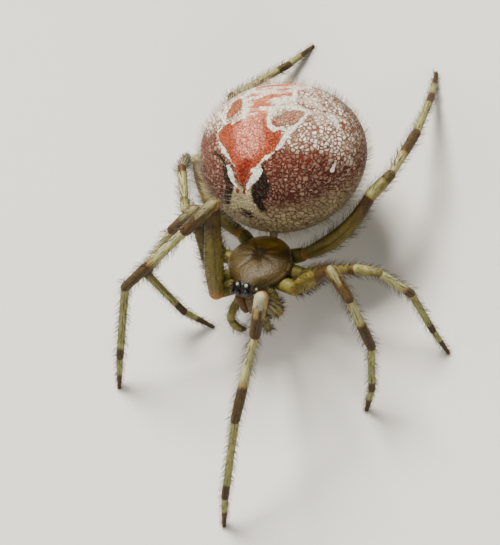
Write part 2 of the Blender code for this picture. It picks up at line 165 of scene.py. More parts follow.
def finished(name, bm, material, turn=Matrix()):
    """The object of a mesh in millimetres, set in the stance by its own frame's matrix."""
    bmesh.ops.recalc_face_normals(bm, faces=bm.faces)
    bm.transform(Matrix.Scale(MM, 4) @ Matrix.Translation(HOME) @ turn)
    mesh = bpy.data.meshes.new(name)
    bm.to_mesh(mesh)
    bm.free()
    mesh.shade_smooth()
    mesh.materials.append(material)
    made = linked(name, mesh)
    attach(made, "root")
    return made


def sphere(segments, rings, radius=1):
    """A new mesh with a round ball on it."""
    bm = bmesh.new()
    bmesh.ops.create_uvsphere(bm, u_segments=segments, v_segments=rings, radius=radius)
    return bm


class Socket:
    """An output of a finish's node. Sums and products of these add the Math nodes that they need."""

    def __init__(self, finish, socket):
        self.finish = finish
        self.socket = socket

    def math(self, operation, first, second):
        return self.finish.node("ShaderNodeMath", {"operation": operation}, {0: first, 1: second})

    def __add__(self, other):
        return self.math("ADD", self, other)

    def __sub__(self, other):
        return self.math("SUBTRACT", self, other)

    def __rsub__(self, other):
        return self.math("SUBTRACT", other, self)

    def __mul__(self, other):
        return self.math("MULTIPLY", self, other)

    def most(self, other):
        return self.math("MAXIMUM", self, other)


class Finish:
    """A material and the nodes that paint it, with places on the object in millimetres."""

    def __init__(self, name, **constants):
        self.material = bpy.data.materials.new(name)
        self.material.use_nodes = True
        self.tree = self.material.node_tree
        self.shader = self.tree.nodes["Principled BSDF"]
        for socket, value in constants.items():
            self.shader.inputs[socket.replace("_", " ")].default_value = value
        place = self.node("ShaderNodeTexCoord", {}, {}, "Object")
        self.place = self.vector("SCALE", {0: place, "Scale": 1 / MM})

    def node(self, kind, settings, inputs, output=0):
        """A node of a type, its settings made first, then the values or links of its sockets."""
        made = self.tree.nodes.new(kind)
        for name, value in settings.items():
            setattr(made, name, value)
        for socket, value in inputs.items():
            if isinstance(value, Socket):
                self.tree.links.new(value.socket, made.inputs[socket])
            elif isinstance(value, tuple) and len(value) == 3 and made.inputs[socket].type == "RGBA":
                made.inputs[socket].default_value = (*value, 1.0)
            else:
                made.inputs[socket].default_value = value
        return Socket(self, made.outputs[output])

    def vector(self, operation, inputs, output=0):
        return self.node("ShaderNodeVectorMath", {"operation": operation}, inputs, output)

    def attribute(self, name):
        return self.node("ShaderNodeAttribute", {"attribute_name": name}, {}, "Fac")

    def noise(self, scale, detail=2.0, place=None):
        inputs = {"Vector": place or self.place, "Scale": scale, "Detail": detail}
        return self.node("ShaderNodeTexNoise", {}, inputs)

    def cells(self, scale, feature="DISTANCE_TO_EDGE", place=None, output="Distance", random=1.0):
        inputs = {"Vector": place or self.place, "Scale": scale, "Randomness": random}
        return self.node("ShaderNodeTexVoronoi", {"feature": feature}, inputs, output)

    def step(self, value, start, end):
        """0 up to start and 1 from end, smooth between, or the other way round."""
        settings = {"interpolation_type": "SMOOTHSTEP", "clamp": True}
        return self.node("ShaderNodeMapRange", settings, {0: value, 1: start, 2: end, 3: 0.0, 4: 1.0})

    def mix(self, factor, first, second):
        settings = {"data_type": "RGBA", "blend_type": "MIX", "clamp_factor": True}
        return self.node("ShaderNodeMix", settings, {0: factor, 6: first, 7: second}, 2)

    def over(self, factor, colour):
        """Lays a colour over the one that the finish has so far."""
        self.colour = self.mix(factor, self.colour, colour)

    def distance(self, point, stretch=(1, 1, 1)):
        """How far the surface is from a point, in millimetres."""
        away = self.vector("SUBTRACT", {0: self.place, 1: tuple(point)})
        away = self.vector("MULTIPLY", {0: away, 1: stretch})
        return self.vector("LENGTH", {0: away}, "Value")

    def warped(self, scale, amount):
        """Places pushed about by noise, so that a pattern on them loses its regular edges."""
        push = self.node("ShaderNodeTexNoise", {}, {"Vector": self.place, "Scale": scale}, 1)
        push = self.vector("SUBTRACT", {0: push, 1: (0.5, 0.5, 0.5)})
        push = self.vector("SCALE", {0: push, "Scale": amount})
        return self.vector("ADD", {0: self.place, 1: push})

    def paint(self, colour, roughness=None, height=None, depth=0.01):
        """Joins colour, roughness and relief to the shader; depth is the relief's in millimetres."""
        for socket, value in (("Base Color", colour), ("Roughness", roughness)):
            if value is not None:
                self.tree.links.new(value.socket, self.shader.inputs[socket])
        if height is not None:
            sockets = {"Height": height, "Strength": 1.0, "Distance": depth * MM}
            normal = self.node("ShaderNodeBump", {}, sockets)
            self.tree.links.new(normal.socket, self.shader.inputs["Normal"])
        return self.material


def on_body(point):
    """A point of the front body in the finished objects' millimetres."""
    return body @ point + HOME


shield = Finish("carapace cuticle", Specular_IOR_Level=0.23)
mottle = shield.noise(9, 4)
shield.colour = shield.mix(mottle, (0.034, 0.022, 0.004), (0.070, 0.045, 0.013))

# Painted light behind and painted shade round the pit, darker on the face, in the grooves, at the brow
# and round each eye
# Painted light: the rear is lightened to lift the shadow that the abdomen casts on it
painted_rear_light = shield.step(shield.distance(on_body(on_carapace(0, -0.50))), 0.50, 0.15)
shield.over(painted_rear_light, (0.330, 0.205, 0.028))
fovea = on_body(on_carapace(0, -FOVEA_BACK))
# Painted shade: darkens the shield round the pit, where the abdomen's shadow lies
painted_pit_shade = shield.step(shield.distance(fovea) + shield.noise(6) * 0.2, 0.55, 0.12)
shield.over(painted_pit_shade * 0.25, (0.055, 0.030, 0.010))
face = shield.step(shield.distance(on_body(Vector((0, -0.64, 0.18)))), 0.32, 0.18)
shield.over(face, (0.036, 0.018, 0.006))
specks = shield.step(shield.cells(26, "F1"), 0.22, 0.10)
shield.over(specks * 0.4, (0.26, 0.19, 0.06))
# Darker by depth in the grooves and the pit: partly their own dark muscle marks, partly painted shade in
# the hollows
groove_marks_and_shade = shield.step(shield.attribute("groove") + (shield.noise(18, 3) - 0.5) * 0.6, 0.10, 0.80)
shield.over(groove_marks_and_shade * 0.75, (0.022, 0.013, 0.004))
# Painted highlight: a pale line along the shield's rim, where it catches the light
rim_highlight = shield.attribute("rim") * shield.step(shield.noise(12, 3), 0.35, 0.60)
shield.over(rim_highlight * 0.45, (0.260, 0.185, 0.080))
brow = shield.distance(on_body(on_carapace(0, 0.535)), (0.62, 1.0, 0.6))
brow = shield.step(brow + shield.noise(20) * 0.03, 0.115, 0.075)
shield.over(brow * 0.92, (0.012, 0.008, 0.006))
for eye_kind in EYES:
    for eye_side in SIDES.values():
        spot = on_body(eye_middle(eye_kind, eye_side))
        ring = shield.step(shield.distance(spot), 0.092, 0.062)
        shield.over(ring, (0.010, 0.007, 0.006))
uneven = mottle * 0.5 + specks * 0.3 + shield.noise(28, 4) * 0.8
shield_material = shield.paint(shield.colour, 0.44 - brow * 0.30, uneven, 0.014)


def carapace_relief(x, y):
    """How far the carapace's surface stands off its plain form."""
    lift = 0
    for sideways, ahead, _ in EYES.values():
        apart = math.hypot(abs(x) - sideways, y + ahead)
        lift += EYE_MOUND * math.exp(-((apart / EYE_MOUND_WIDTH) ** 2) * 2)
    apart = math.hypot(x * FOVEA_NARROWING, y - FOVEA_BACK)
    lift -= FOVEA_DEPTH * math.exp(-((apart / FOVEA_WIDTH) ** 2))
    angle = math.degrees(math.atan2(abs(x), FOVEA_BACK - y))
    fade = min(apart / GROOVE_START, 1) * max(0, 1 - apart / GROOVE_REACH)
    for groove in GROOVES:
        across = math.radians(angle - groove) * apart
        lift -= GROOVE_DEPTH * math.exp(-((across / GROOVE_WIDTH) ** 2)) * fade
    return lift


bm = sphere(*CARAPACE_MESH)
groove_layer = bm.verts.layers.float.new("groove")
rim_highlight_layer = bm.verts.layers.float.new("rim")
for vert in bm.verts:
    side_way, up, along_way = vert.co
    around = math.atan2(up, side_way)
    off_axis = math.hypot(side_way, up)
    y = (CARAPACE_REAR - CARAPACE_FRONT) / 2 + (CARAPACE_REAR + CARAPACE_FRONT) / 2 * along_way
    half_width, height = carapace_form(y)
    close = off_axis**BLUNT
    across = half_width * close * math.copysign(abs(math.cos(around)) ** SQUARED, math.cos(around))
    sine = math.sin(around)
    if sine >= 0:
        relief = carapace_relief(across, y)
        rise = (height * close - CARAPACE_EDGE) * sine + relief * sine
        vert[groove_layer] = min(max(-relief / GROOVE_DEPTH, 0), 1)
        vert[rim_highlight_layer] = math.exp(-(((math.degrees(math.asin(sine)) - RIM_HIGHLIGHT_AT) / RIM_HIGHLIGHT_WIDTH) ** 2))
    else:
        rise = CARAPACE_EDGE * close * sine
    vert.co = (across, y, CARAPACE_FLOOR + CARAPACE_EDGE + rise)
carapace = finished("carapace_shield", bm, shield_material, turn=body)
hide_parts("carapace")


# Eyes: eight smooth lenses of clear cuticle in two rows. The front middle pair is black all through,
# the six others have a pale mirror behind the lens and look like small pearls in black rims.
MIRROR_WIDTHS = {"AL": 0.024, "PM": 0.050, "PL": 0.028}
pearl = Finish("pearl lens", Roughness=0.08)
mirror = 0.0
for eye_kind, mirror_width in MIRROR_WIDTHS.items():
    for side in SIDES.values():
        sideways = side * EYES[eye_kind][0]
        look_out = Vector((sideways * 1.6, -0.30, 0.62)).normalized() * EYE_WIDTH / 2
        pupil = on_body(eye_middle(eye_kind, side) + look_out)
        edge_at = mirror_width / 2
        mirror = pearl.step(pearl.distance(pupil), edge_at + 0.010, edge_at - 0.004) + mirror
milk = pearl.mix(pearl.noise(40, 2), (0.220, 0.290, 0.210), (0.480, 0.580, 0.440))
pearl_material = pearl.paint(pearl.mix(mirror, (0.016, 0.013, 0.012), milk))
jet = Finish("black lens", Roughness=0.08)
jet_material = jet.paint(jet.mix(jet.noise(30, 2), (0.004, 0.004, 0.006), (0.012, 0.012, 0.018)))

for eye_kind, (sideways, ahead, share) in EYES.items():
    for side_name, side in SIDES.items():
        bm = sphere(*EYE_MESH, EYE_WIDTH / 2 * share)
        look = jet_material if eye_kind == "AM" else pearl_material
        place = body @ Matrix.Translation(eye_middle(eye_kind, side))
        lens = finished(f"lens_{eye_kind}_{side_name}", bm, look, turn=place)
        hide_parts(f"eye_{eye_kind}_{side_name}")


# Jaws: two stout tapered chelicerae of dark red-brown cuticle, side by side under the face and a
# little apart at their tips, where the fangs fold in.
CHELICERA_WIDTH = 0.165
CHELICERA_LENGTH = 0.38
CHELICERA_AHEAD = 0.555
CHELICERA_SWELLS = ((0, 0.55), (0.12, 0.96), (0.35, 1.04), (0.75, 0.92), (0.93, 0.70), (1, 0.16))
CHELICERA_RINGS = 24
CHELICERA_SIDES = 28
SEAM = 0.02


def along(at, direction):
    """A frame at a point with Z along the direction, X as far up as it can be."""
    z = direction.normalized()
    x = (Vector((0, 0, 1)) - z * z.z).normalized()
    return Matrix.Translation(at) @ Matrix((x, z.cross(x), z)).transposed().to_4x4()


def turned(profile, sides):
    """A closed solid turned about Z from (radius, height) points, whose two ends lie on the axis."""
    bm = bmesh.new()
    verts = [bm.verts.new((radius, 0, height)) for radius, height in profile]
    edges = [bm.edges.new(pair) for pair in zip(verts, verts[1:])]
    whole = {"cent": (0, 0, 0), "axis": (0, 0, 1), "angle": math.tau}
    bmesh.ops.spin(bm, geom=verts + edges, steps=sides, use_merge=True, **whole)
    bmesh.ops.remove_doubles(bm, verts=bm.verts, dist=1e-5)
    return bm


def merged(bm, other, turn=Matrix()):
    """Adds another mesh, turned by a matrix, to the first."""
    other.transform(turn)
    mesh = bpy.data.meshes.new("merged")
    other.to_mesh(mesh)
    other.free()
    bm.from_mesh(mesh)
    bpy.data.meshes.remove(mesh)


jaw = Finish("jaw cuticle", Roughness=0.36, Specular_IOR_Level=0.16)
jaw_brown = jaw.mix(jaw.noise(10, 4), (0.032, 0.014, 0.002), (0.090, 0.044, 0.006))
jaw_material = jaw.paint(jaw_brown, None, jaw.noise(40, 3), 0.003)
for side_name, side in SIDES.items():
    radius = CHELICERA_WIDTH / 2
    frame_in_body = along(
        Vector((side * (radius + SEAM / 2), -CHELICERA_AHEAD, CARAPACE_FLOOR)),
        Vector((-0.10 * side, -0.16, -1)),
    )
    shape = [(0, -radius * 0.6)]
    for i in range(1, CHELICERA_RINGS + 1):
        t = i / CHELICERA_RINGS
        down = -radius * 0.6 + (CHELICERA_LENGTH + radius * 0.55) * t
        shape.append((radius * blend(CHELICERA_SWELLS, t), down))
    shape.append((0, shape[-1][1] + radius * 0.05))
    jaw_mesh = turned(shape, CHELICERA_SIDES)
    jaw_piece = finished(f"jaw_{side_name}", jaw_mesh, jaw_material, turn=body @ frame_in_body)
    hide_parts(f"chelicera_{side_name}")


# Legs: eight jointed tubes of thin cuticle, pale straw with dark rings near the joints, each with a
# soft fold of skin at every joint. They stand on the tips of the tarsi.
COXAE = {
    1: (0.30, 0.36, 0.32),
    2: (0.40, 0.13, 0.31),
    3: (0.40, -0.11, 0.27),
    4: (0.31, -0.34, 0.27),
}
COXA_WIDTH = 0.24
COXA_HIDDEN = 0.20
PODOMERES = ("femur", "patella", "tibia", "metatarsus", "tarsus")
LENGTHS = {
    1: (1.95, 0.64, 1.45, 1.46, 0.65),
    2: (1.47, 0.51, 0.97, 0.99, 0.55),
    3: (1.00, 0.37, 0.64, 0.75, 0.48),
    4: (1.48, 0.48, 0.98, 1.08, 0.52),
}
THICKNESSES = {
    1: (0.31, 0.21, 0.165, 0.13, 0.10),
    2: (0.27, 0.19, 0.165, 0.125, 0.10),
    3: (0.19, 0.155, 0.145, 0.115, 0.09),
    4: (0.255, 0.19, 0.16, 0.125, 0.095),
}
FEMUR_BOW = {1: (0.05, 0.0), 2: (0.05, 0.0), 3: (0.03, 0.0), 4: (0.0, 0.16)}
STANCE = {
    "R1": ((58, 22), (-166, 64), (53, -28), (53, -29), (19, -58), 15),
    "R2": ((56, -9), (163, 58), (55, -28), (44, -42), (-56, -53), -77),
    "R3": ((99, 7), (131, 42), (153, -45), (164, -15), (158, -60), 160),
    "R4": ((140, 14), (142, 1), (-118, -15), (-185, -9), (-135, -21), -143),
    "L1": ((33, 7), (28, 75), (-16, -43), (-16, -35), (-17, -50), -19),
    "L2": ((69, 12), (86, 55), (38, -10), (28, -55), (-17, -65), -41),
    "L3": ((78, 10), (92, 19), (83, 6), (70, -40), (36, -51), 42),
    "L4": ((98, 18), (129, 21), (151, -18), (167, -26), (-179, -38), -174),
}
BELLIES = {
    "femur": ((0, 0.80), (0.35, 1.0), (0.80, 0.84), (1, 0.70)),
    "patella": ((0, 1.07), (0.5, 1.02), (1, 0.86)),
    "tibia": ((0, 0.86), (0.25, 0.90), (0.80, 1.0), (1, 0.90)),
    "metatarsus": ((0, 1.05), (0.5, 0.95), (1, 0.92)),
    "tarsus": ((0, 1.05), (0.4, 0.98), (1, 0.62)),
}
# Where along each podomere its dark end begins, as a share of its length
DARK_FROM = {
    "R1": (0.92, 0.50, 0.58, 0.86, 0.55),
    "R2": (0.80, 0.50, 0.80, 0.78, 0.42),
    "R3": (0.84, 0.60, 0.80, 0.84, 0.55),
    "R4": (0.84, 0.60, 0.60, 0.80, 0.50),
    "L1": (0.84, 0.45, 0.60, 0.83, 0.48),
    "L2": (0.74, 0.55, 0.52, 0.81, 0.43),
    "L3": (0.84, 0.60, 0.80, 0.84, 0.45),
    "L4": (0.84, 0.60, 0.50, 0.78, 0.50),
}
# How dark the rings of the hind pairs are beside those of the others, where they are fainter
FAINT = {("3", "femur"): 0.60, ("3", "patella"): 0.50, ("3", "tibia"): 0.85, ("4", "patella"): 0.65}
# The leg whose joints are paler and warmer than those of the others, with a broader painted sheen
BRIGHT_LEG = "L1"
LEG_SIDES = 20
LEG_STEP = 0.035
# The coxa's outline as (share of its half width, share of its length, share of its half width added)
COXA_SHAPE = (
    (0, 0, -0.5), (0.6, 0, -0.25), (0.86, 0, 0.05), (1, 0.3, 0), (1.02, 0.55, 0), (0.98, 0.8, 0),
    (0.92, 1, 0), (0.72, 1, 0.5), (0, 1, 0.8),
)
COXA_MARKS = (0.25, 0, 0.05)
# How far the fold of skin reaches to either side of a joint
FOLD_REACH = 0.02
# How much of the thigh's olive colour each podomere has
OLIVE_SHARES = {"coxa": 1, "femur": 1, "patella": 0.6, "tibia": 0, "metatarsus": 0.4, "tarsus": 0.4}
BALL_ANGLES = (75, 60, 45, 30, 15)
# The collar just short of each podomere's end: its place and how far it stands out, as shares
COLLAR_AT = 0.955
COLLAR = 0.05


def towards(heading, rise, side):
    """The unit vector of a heading and a rise on one side of the spider, -1 for the right."""
    h, r = math.radians(heading), math.radians(rise)
    return Vector((side * math.sin(h) * math.cos(r), -math.cos(h) * math.cos(r), math.sin(r)))


def joints_of(leg):
    """The points and directions of a leg, from the root of its coxa to its tip on the ground."""
    side = SIDES[leg[0]]
    sideways, ahead, coxa_length = COXAE[int(leg[1])]
    points = [body @ Vector((side * sideways, -ahead, 0))]
    *turns, last_heading = STANCE[leg]
    lengths = (coxa_length, *LENGTHS[int(leg[1])])
    for (heading, rise), length in zip(turns, lengths):
        points.append(points[-1] + towards(heading, rise, side) * length)
    drop = math.degrees(math.asin(points[-1].z / lengths[-1]))
    points.append(points[-1] + towards(last_heading, -drop, side) * lengths[-1])
    return points, [b - a for a, b in zip(points, points[1:])]


def ramp(value, start, end):
    """0 up to start and 1 from end, smooth between, or the other way round."""
    s = min(max((value - start) / (end - start), 0), 1)
    return s * s * (3 - 2 * s)


def stripe_at(around, angle):
    """1 on a stripe at an angle on either side of a podomere's top, 0 off it."""
    return ramp(abs(abs(around) - angle), 0.30, 0.10)


def podomere_marks(leg, kind, t, around):
    """Dark, painted sheen and warm shares of the colour at a place along and around a podomere."""
    if kind == "coxa":
        return COXA_MARKS
    above = (1 + math.cos(around)) / 2
    bright = leg == BRIGHT_LEG
    start = DARK_FROM[leg][PODOMERES.index(kind)]
    soft = 0.07 if kind in ("femur", "metatarsus") else 0.12
    dark = ramp(t, start - soft, start + soft)
    painted_sheen = warm = 0
    if kind == "femur":
        stripe = max(stripe_at(around, 0.7), 0.8 * stripe_at(around, 1.9)) * ramp(t, 0.08, 0.2)
        dark = max(dark, (0.25 if bright else 0.60) * stripe, 0.62 * ramp(t, 0.45, 0.85))
        dark = max(dark, 0.75 * ramp(t, 0.965, 0.985))
        warm = 0.15 + 0.85 * ramp(t, 0.12, 0.0)
        # Painted sheen on the bright leg's knee
        painted_sheen = 0.55 * ramp(t, 0.90, 0.97) if bright else 0
        dark *= 1 - painted_sheen
    if kind == "patella":
        # Painted sheen: a silvery highlight along the patella's top
        top = 0.6 * ramp(above, 0.55, 0.85) if bright else 0.45 * ramp(above, 0.82, 0.98)
        painted_sheen = top * (ramp(t, 0.42, 0.22) if bright else ramp(t, 0.75, 0.35))
        below = ramp(above, 0.60, 0.20) * ramp(t, 0.9, 0.6)
        beside = ramp(above, 0.80, 0.55) * ramp(t, 0.40, 0.12)
        warm = max(below, beside, 0.5 * ramp(abs(t - 0.42), 0.22, 0.05) if bright else 0)
        dark = max(dark, 0.55 if bright else 0.68) * (1 - 0.7 * max(painted_sheen, warm))
        dark = max(dark, 0.9 * stripe_at(around, 0.75) * ramp(t, 0.2, 0.3))
    if kind == "tibia":
        # Painted sheen: a silvery highlight along the tibia's top, short of its dark end
        painted_sheen = 0.5 * ramp(above, 0.84, 0.98) * ramp(t, start - 0.04, start - 0.18)
        dark = max(dark, 0.45 * ramp(abs(abs(around) - 0.9), 0.35, 0.10))
        warm = 0.7 * ramp(t, 0.12, 0.0) + 0.6 * ramp(abs(t - start), 0.10, 0.02)
    if kind == "metatarsus":
        dark = max(dark, 0.35 * ramp(t, 0.10, 0.02))
    faint = FAINT.get((leg[1], kind), 1)
    return dark * faint, painted_sheen * faint, warm


def podomere_profile(kind, length, thick, next_thick):
    """(radius, height) points of one podomere: ball ends about its two joints, a belly between."""
    middle = thick / 2
    floor_share = next_thick / thick if kind in ("femur", "patella") else 0
    steps = max(12, round(length / LEG_STEP))
    points = []
    for i in range(steps + 1):
        t = i / steps
        share = max(blend(BELLIES[kind], t), floor_share * ramp(t, 0.80, 0.92))
        share *= 1 + COLLAR * math.exp(-(((t - COLLAR_AT) * length / LEG_STEP) ** 2))
        points.append((middle * share, length * t))
    start, last = points[0][0], points[-1][0]
    balls = [math.radians(angle) for angle in BALL_ANGLES]
    before = [(start * math.cos(a), -start * math.sin(a)) for a in balls]
    after = [(last * math.cos(a), length + last * math.sin(a)) for a in reversed(balls)]
    return [(0, -start), *before, *points, *after, (0, length + last)]


LEG_LAYERS = ("dark", "painted_sheen", "warm", "fold", "olive")


def podomeres_of(leg):
    """The kind, start, direction, profile and bow of each podomere of a leg."""
    points, directions = joints_of(leg)
    pair, side = int(leg[1]), SIDES[leg[0]]
    thick = (*THICKNESSES[pair], THICKNESSES[pair][-1])
    for i, kind in enumerate(PODOMERES):
        direction = directions[i + 1]
        profile = podomere_profile(kind, direction.length, thick[i], thick[i + 1])
        up, sideways = FEMUR_BOW[pair] if kind == "femur" else (0, 0)
        yield kind, points[i + 1], direction, profile, (up, side * sideways)


def leg_solid(leg, kind, start, direction, profile, bow):
    """One podomere, turned, bowed and set in the stance, with its markings on its points."""
    bm = turned(profile, LEG_SIDES)
    layers = [bm.verts.layers.float.new(name) for name in LEG_LAYERS]
    length = direction.length
    for vert in bm.verts:
        t = vert.co.z / length
        around = math.atan2(vert.co.y, vert.co.x)
        within = min(max(t, 0), 1)
        above = (1 + math.cos(around)) / 2
        past_ends = (-t * length, (t - 1) * length)
        at_joint = sum(ramp(past, -FOLD_REACH, FOLD_REACH) for past in past_ends)
        fold = at_joint * ramp(above, 0.8, 0.3)
        marks = (*podomere_marks(leg, kind, within, around), fold, OLIVE_SHARES[kind])
        for layer, value in zip(layers, marks):
            vert[layer] = value
        swell = 4 * within * (1 - within)
        vert.co.x += bow[0] * swell
        vert.co.y += bow[1] * swell
    bm.transform(along(start, direction))
    for vert in bm.verts:
        vert.co.z = max(vert.co.z, 0)
    return bm


legs = bmesh.new()
for layer_name in LEG_LAYERS:
    legs.verts.layers.float.new(layer_name)
for leg in STANCE:
    points, directions = joints_of(leg)
    inner = points[0] - directions[0].normalized() * COXA_HIDDEN
    reach = points[1] - inner
    half = COXA_WIDTH / 2
    coxa_shape = [(half * wide, reach.length * t + half * more) for wide, t, more in COXA_SHAPE]
    merged(legs, leg_solid(leg, "coxa", inner, reach, coxa_shape, (0, 0)))
    for podomere in podomeres_of(leg):
        merged(legs, leg_solid(leg, *podomere))

# Straw tubes with olive thighs, warm at the joints and with a painted silvery sheen on top, under dark
# ragged rings
cuticle = Finish("leg cuticle", Roughness=0.44, Specular_IOR_Level=0.18)
grain = cuticle.noise(14, 4)
ragged = (cuticle.noise(16, 3) - 0.5) * 0.7
olive_share = cuticle.attribute("olive")
straw = cuticle.mix(grain, (0.230, 0.225, 0.068), (0.430, 0.425, 0.190))
olive = cuticle.mix(grain, (0.062, 0.058, 0.008), (0.160, 0.150, 0.028))
cuticle.colour = cuticle.mix(olive_share, straw, olive)
cuticle.over(cuticle.attribute("warm") * 0.8, (0.300, 0.130, 0.030))
# Painted sheen: a silvery highlight laid over the tops of the knees and shins
sheen_mask = cuticle.step(cuticle.attribute("painted_sheen") + ragged * 1.2, 0.25, 0.75)
cuticle.over(sheen_mask * 0.7, (0.360, 0.345, 0.270))
fleck = cuticle.step(cuticle.cells(24, "F1"), 0.30, 0.16)
cuticle.over(fleck * olive_share * 0.6, (0.045, 0.030, 0.008))
dark = cuticle.step(cuticle.attribute("dark") + ragged * 0.5, 0.25, 0.75)
ring_colour = cuticle.mix(grain, (0.015, 0.007, 0.002), (0.072, 0.034, 0.009))
cuticle.over(dark * 0.95, ring_colour)
cuticle.over(cuticle.attribute("fold") * 0.6 * (1 - sheen_mask), (0.120, 0.052, 0.014))
cuticle_material = cuticle.paint(cuticle.colour, None, cuticle.noise(60, 3), 0.004)

leg_piece = finished("legs", legs, cuticle_material)
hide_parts(*(f"leg_{leg}_{kind}" for leg in STANCE for kind in PODOMERES))


# Breastplate and palps: the heart-shaped plate of brown cuticle that closes the front body below,
# and the two feelers beside the jaws, each a short leg of rounded segments with a dark tip.
STERNUM_WIDTH = 0.58
STERNUM_LENGTH = 0.74
STERNUM_TOP = 0.12
STERNUM_DEPTH = 0.24
STERNUM_BLUNT = 0.35
STERNUM_MESH = (48, 40)
STERNUM_WIDTHS = ((0, 0.5), (0.25, 1.0), (0.6, 0.92), (1, 0.28))
PALP_WIDTH = 0.14
PALP_SIDES = 24
PALP_RINGS = 110
PALP_SHARES = (
    (0, 0.5), (0.02, 1.0), (0.22, 1.02), (0.27, 0.85), (0.30, 0.96), (0.46, 0.98), (0.50, 0.84),
    (0.53, 0.95), (0.60, 0.96), (0.64, 0.82), (0.67, 0.90), (0.78, 0.92), (0.81, 0.76), (0.84, 0.82),
    (0.97, 0.42), (1, 0.10),
)
MAXILLA_ROOT = (0.10, 0.22, -0.06)
PALP_LINES = {
    "R": (
        (-0.37, -0.49, 0.82), (-0.44, -0.60, 0.76), (-0.49, -0.75, 0.64), (-0.40, -0.83, 0.50),
        (-0.28, -0.83, 0.40),
    ),
    "L": (
        (-0.05, -0.52, 0.80), (0.00, -0.62, 0.72), (0.04, -0.72, 0.62), (0.07, -0.79, 0.52),
        (0.10, -0.82, 0.42),
    ),
}

plate = Finish("breastplate cuticle", Roughness=0.32, Coat_Weight=0.2)
plate_brown = plate.mix(plate.noise(9, 4), (0.090, 0.052, 0.014), (0.230, 0.140, 0.050))
plate_material = plate.paint(plate_brown, None, plate.noise(45, 3), 0.003)

bm = sphere(*STERNUM_MESH)
for vert in bm.verts:
    across, up, along_way = vert.co
    t = (along_way + 1) / 2
    wide = math.hypot(across, up) ** STERNUM_BLUNT
    around = math.atan2(up, across)
    depth = STERNUM_TOP * 0.8 if up > 0 else STERNUM_DEPTH
    half = STERNUM_WIDTH / 2 * blend(STERNUM_WIDTHS, t)
    along_way = STERNUM_LENGTH * (t - 0.5)
    vert.co = (half * wide * math.cos(around), along_way, depth * wide * math.sin(around))
sternum = finished("breastplate", bm, plate_material, turn=body)
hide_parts("sternum")


def swept(line, radii, sides, rings):
    """A round tube along a smooth curve through points, drawn ring by ring, closed at both ends."""
    knots = [Vector(point) for point in line]
    knots = [2 * knots[0] - knots[1], *knots, 2 * knots[-1] - knots[-2]]

    def at(t):
        i = min(int(t), len(knots) - 4)
        p0, p1, p2, p3 = knots[i : i + 4]
        s = t - i
        second = 2 * p0 - 5 * p1 + 4 * p2 - p3
        third = 3 * p1 - p0 - 3 * p2 + p3
        return 0.5 * (2 * p1 + (p2 - p0) * s + second * s**2 + third * s**3)

    bm = bmesh.new()
    around = bm.verts.layers.int.new("around")
    run = bm.verts.layers.float.new("run")
    spokes = bmesh.ops.create_circle(bm, segments=sides, radius=1)["verts"]
    for k, vert in enumerate(spokes):
        vert[around] = k
    edges = bm.edges[:]
    spans = len(knots) - 3
    side_way = None
    for i in range(rings + 1):
        t = i / rings
        ahead = (at(min(t + 0.01, 1) * spans) - at(max(t - 0.01, 0) * spans)).normalized()
        side_way = Vector((0, 0, 1)) if side_way is None else side_way
        side_way = (side_way - ahead * side_way.dot(ahead)).normalized()
        other = ahead.cross(side_way)
        if i:
            grown = bmesh.ops.extrude_edge_only(bm, edges=edges)["geom"]
            edges = [item for item in grown if isinstance(item, bmesh.types.BMEdge)]
            spokes = [item for item in grown if isinstance(item, bmesh.types.BMVert)]
        radius = blend(radii, t)
        for vert in spokes:
            angle = math.tau * vert[around] / sides
            vert[run] = t
            vert.co = at(t * spans) + (side_way * math.cos(angle) + other * math.sin(angle)) * radius
    bmesh.ops.holes_fill(bm, edges=[edge for edge in bm.edges if edge.is_boundary], sides=0)
    return bm


palps = []
for side_name, side in SIDES.items():
    sideways, ahead, up = MAXILLA_ROOT
    root = body @ Vector((side * sideways, -ahead, up))
    line = (root, *PALP_LINES[side_name])
    radii = [(t, PALP_WIDTH / 2 * share) for t, share in PALP_SHARES]
    palp_mesh = swept(line, radii, PALP_SIDES, PALP_RINGS)
    layers = palp_mesh.verts.layers.float
    for layer_name in LEG_LAYERS:
        layers.new(layer_name)
    for vert in palp_mesh.verts:
        t = vert[layers["run"]]
        vert[layers["olive"]] = 0.85 if t < 0.5 else 0.5
        vert[layers["dark"]] = max(0.3, ramp(t, 0.80, 0.93), 0.5 * ramp(abs(t - 0.62), 0.05, 0.03))
        vert[layers["warm"]] = 0.2
    palp = finished(f"feeler_{side_name}", palp_mesh, cuticle_material)
    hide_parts(f"palp_{side_name}")
    palps.append(palp)


# Fangs and claws: a slim curved fang folded in under the tip of each jaw, and three little claws at
# the tip of each tarsus, two beside a smaller middle one, all of dark hard cuticle.
FANG_LENGTH = 0.11
FANG_WIDTH = 0.034
FANG_APART = 0.11
FANG_AHEAD = 0.03
CLAW_LENGTH = 0.060
CLAW_WIDTH = 0.011
CLAW_SPREAD = 14
CLAW_ROOT = 0.02
CLAW_LIFT = 0.25
CLAW_CURL = 0.62
CLAW_MIDDLE = 0.7
CLAW_REST = 0.004
# The course of a hooked point, ahead and inwards, and its half width along it, as shares
HOOK = ((0, 0), (0.45, 0.04), (0.8, 0.2), (1, 0.5))
HOOK_WIDTHS = ((0, 0.5), (0.4, 0.42), (1, 0.08))
HOOK_MESH = (8, 9)

fang = Finish("fang cuticle", Roughness=0.2)
fang_material = fang.paint(fang.mix(fang.noise(20), (0.030, 0.008, 0.003), (0.110, 0.035, 0.010)))


def hooked(start, ahead, inwards, length, width):
    """A curved point that starts ahead and bends inwards, narrowing to its tip."""
    line = [start + ahead * length * a + inwards * length * b for a, b in HOOK]
    return swept(line, [(t, width * share) for t, share in HOOK_WIDTHS], *HOOK_MESH)


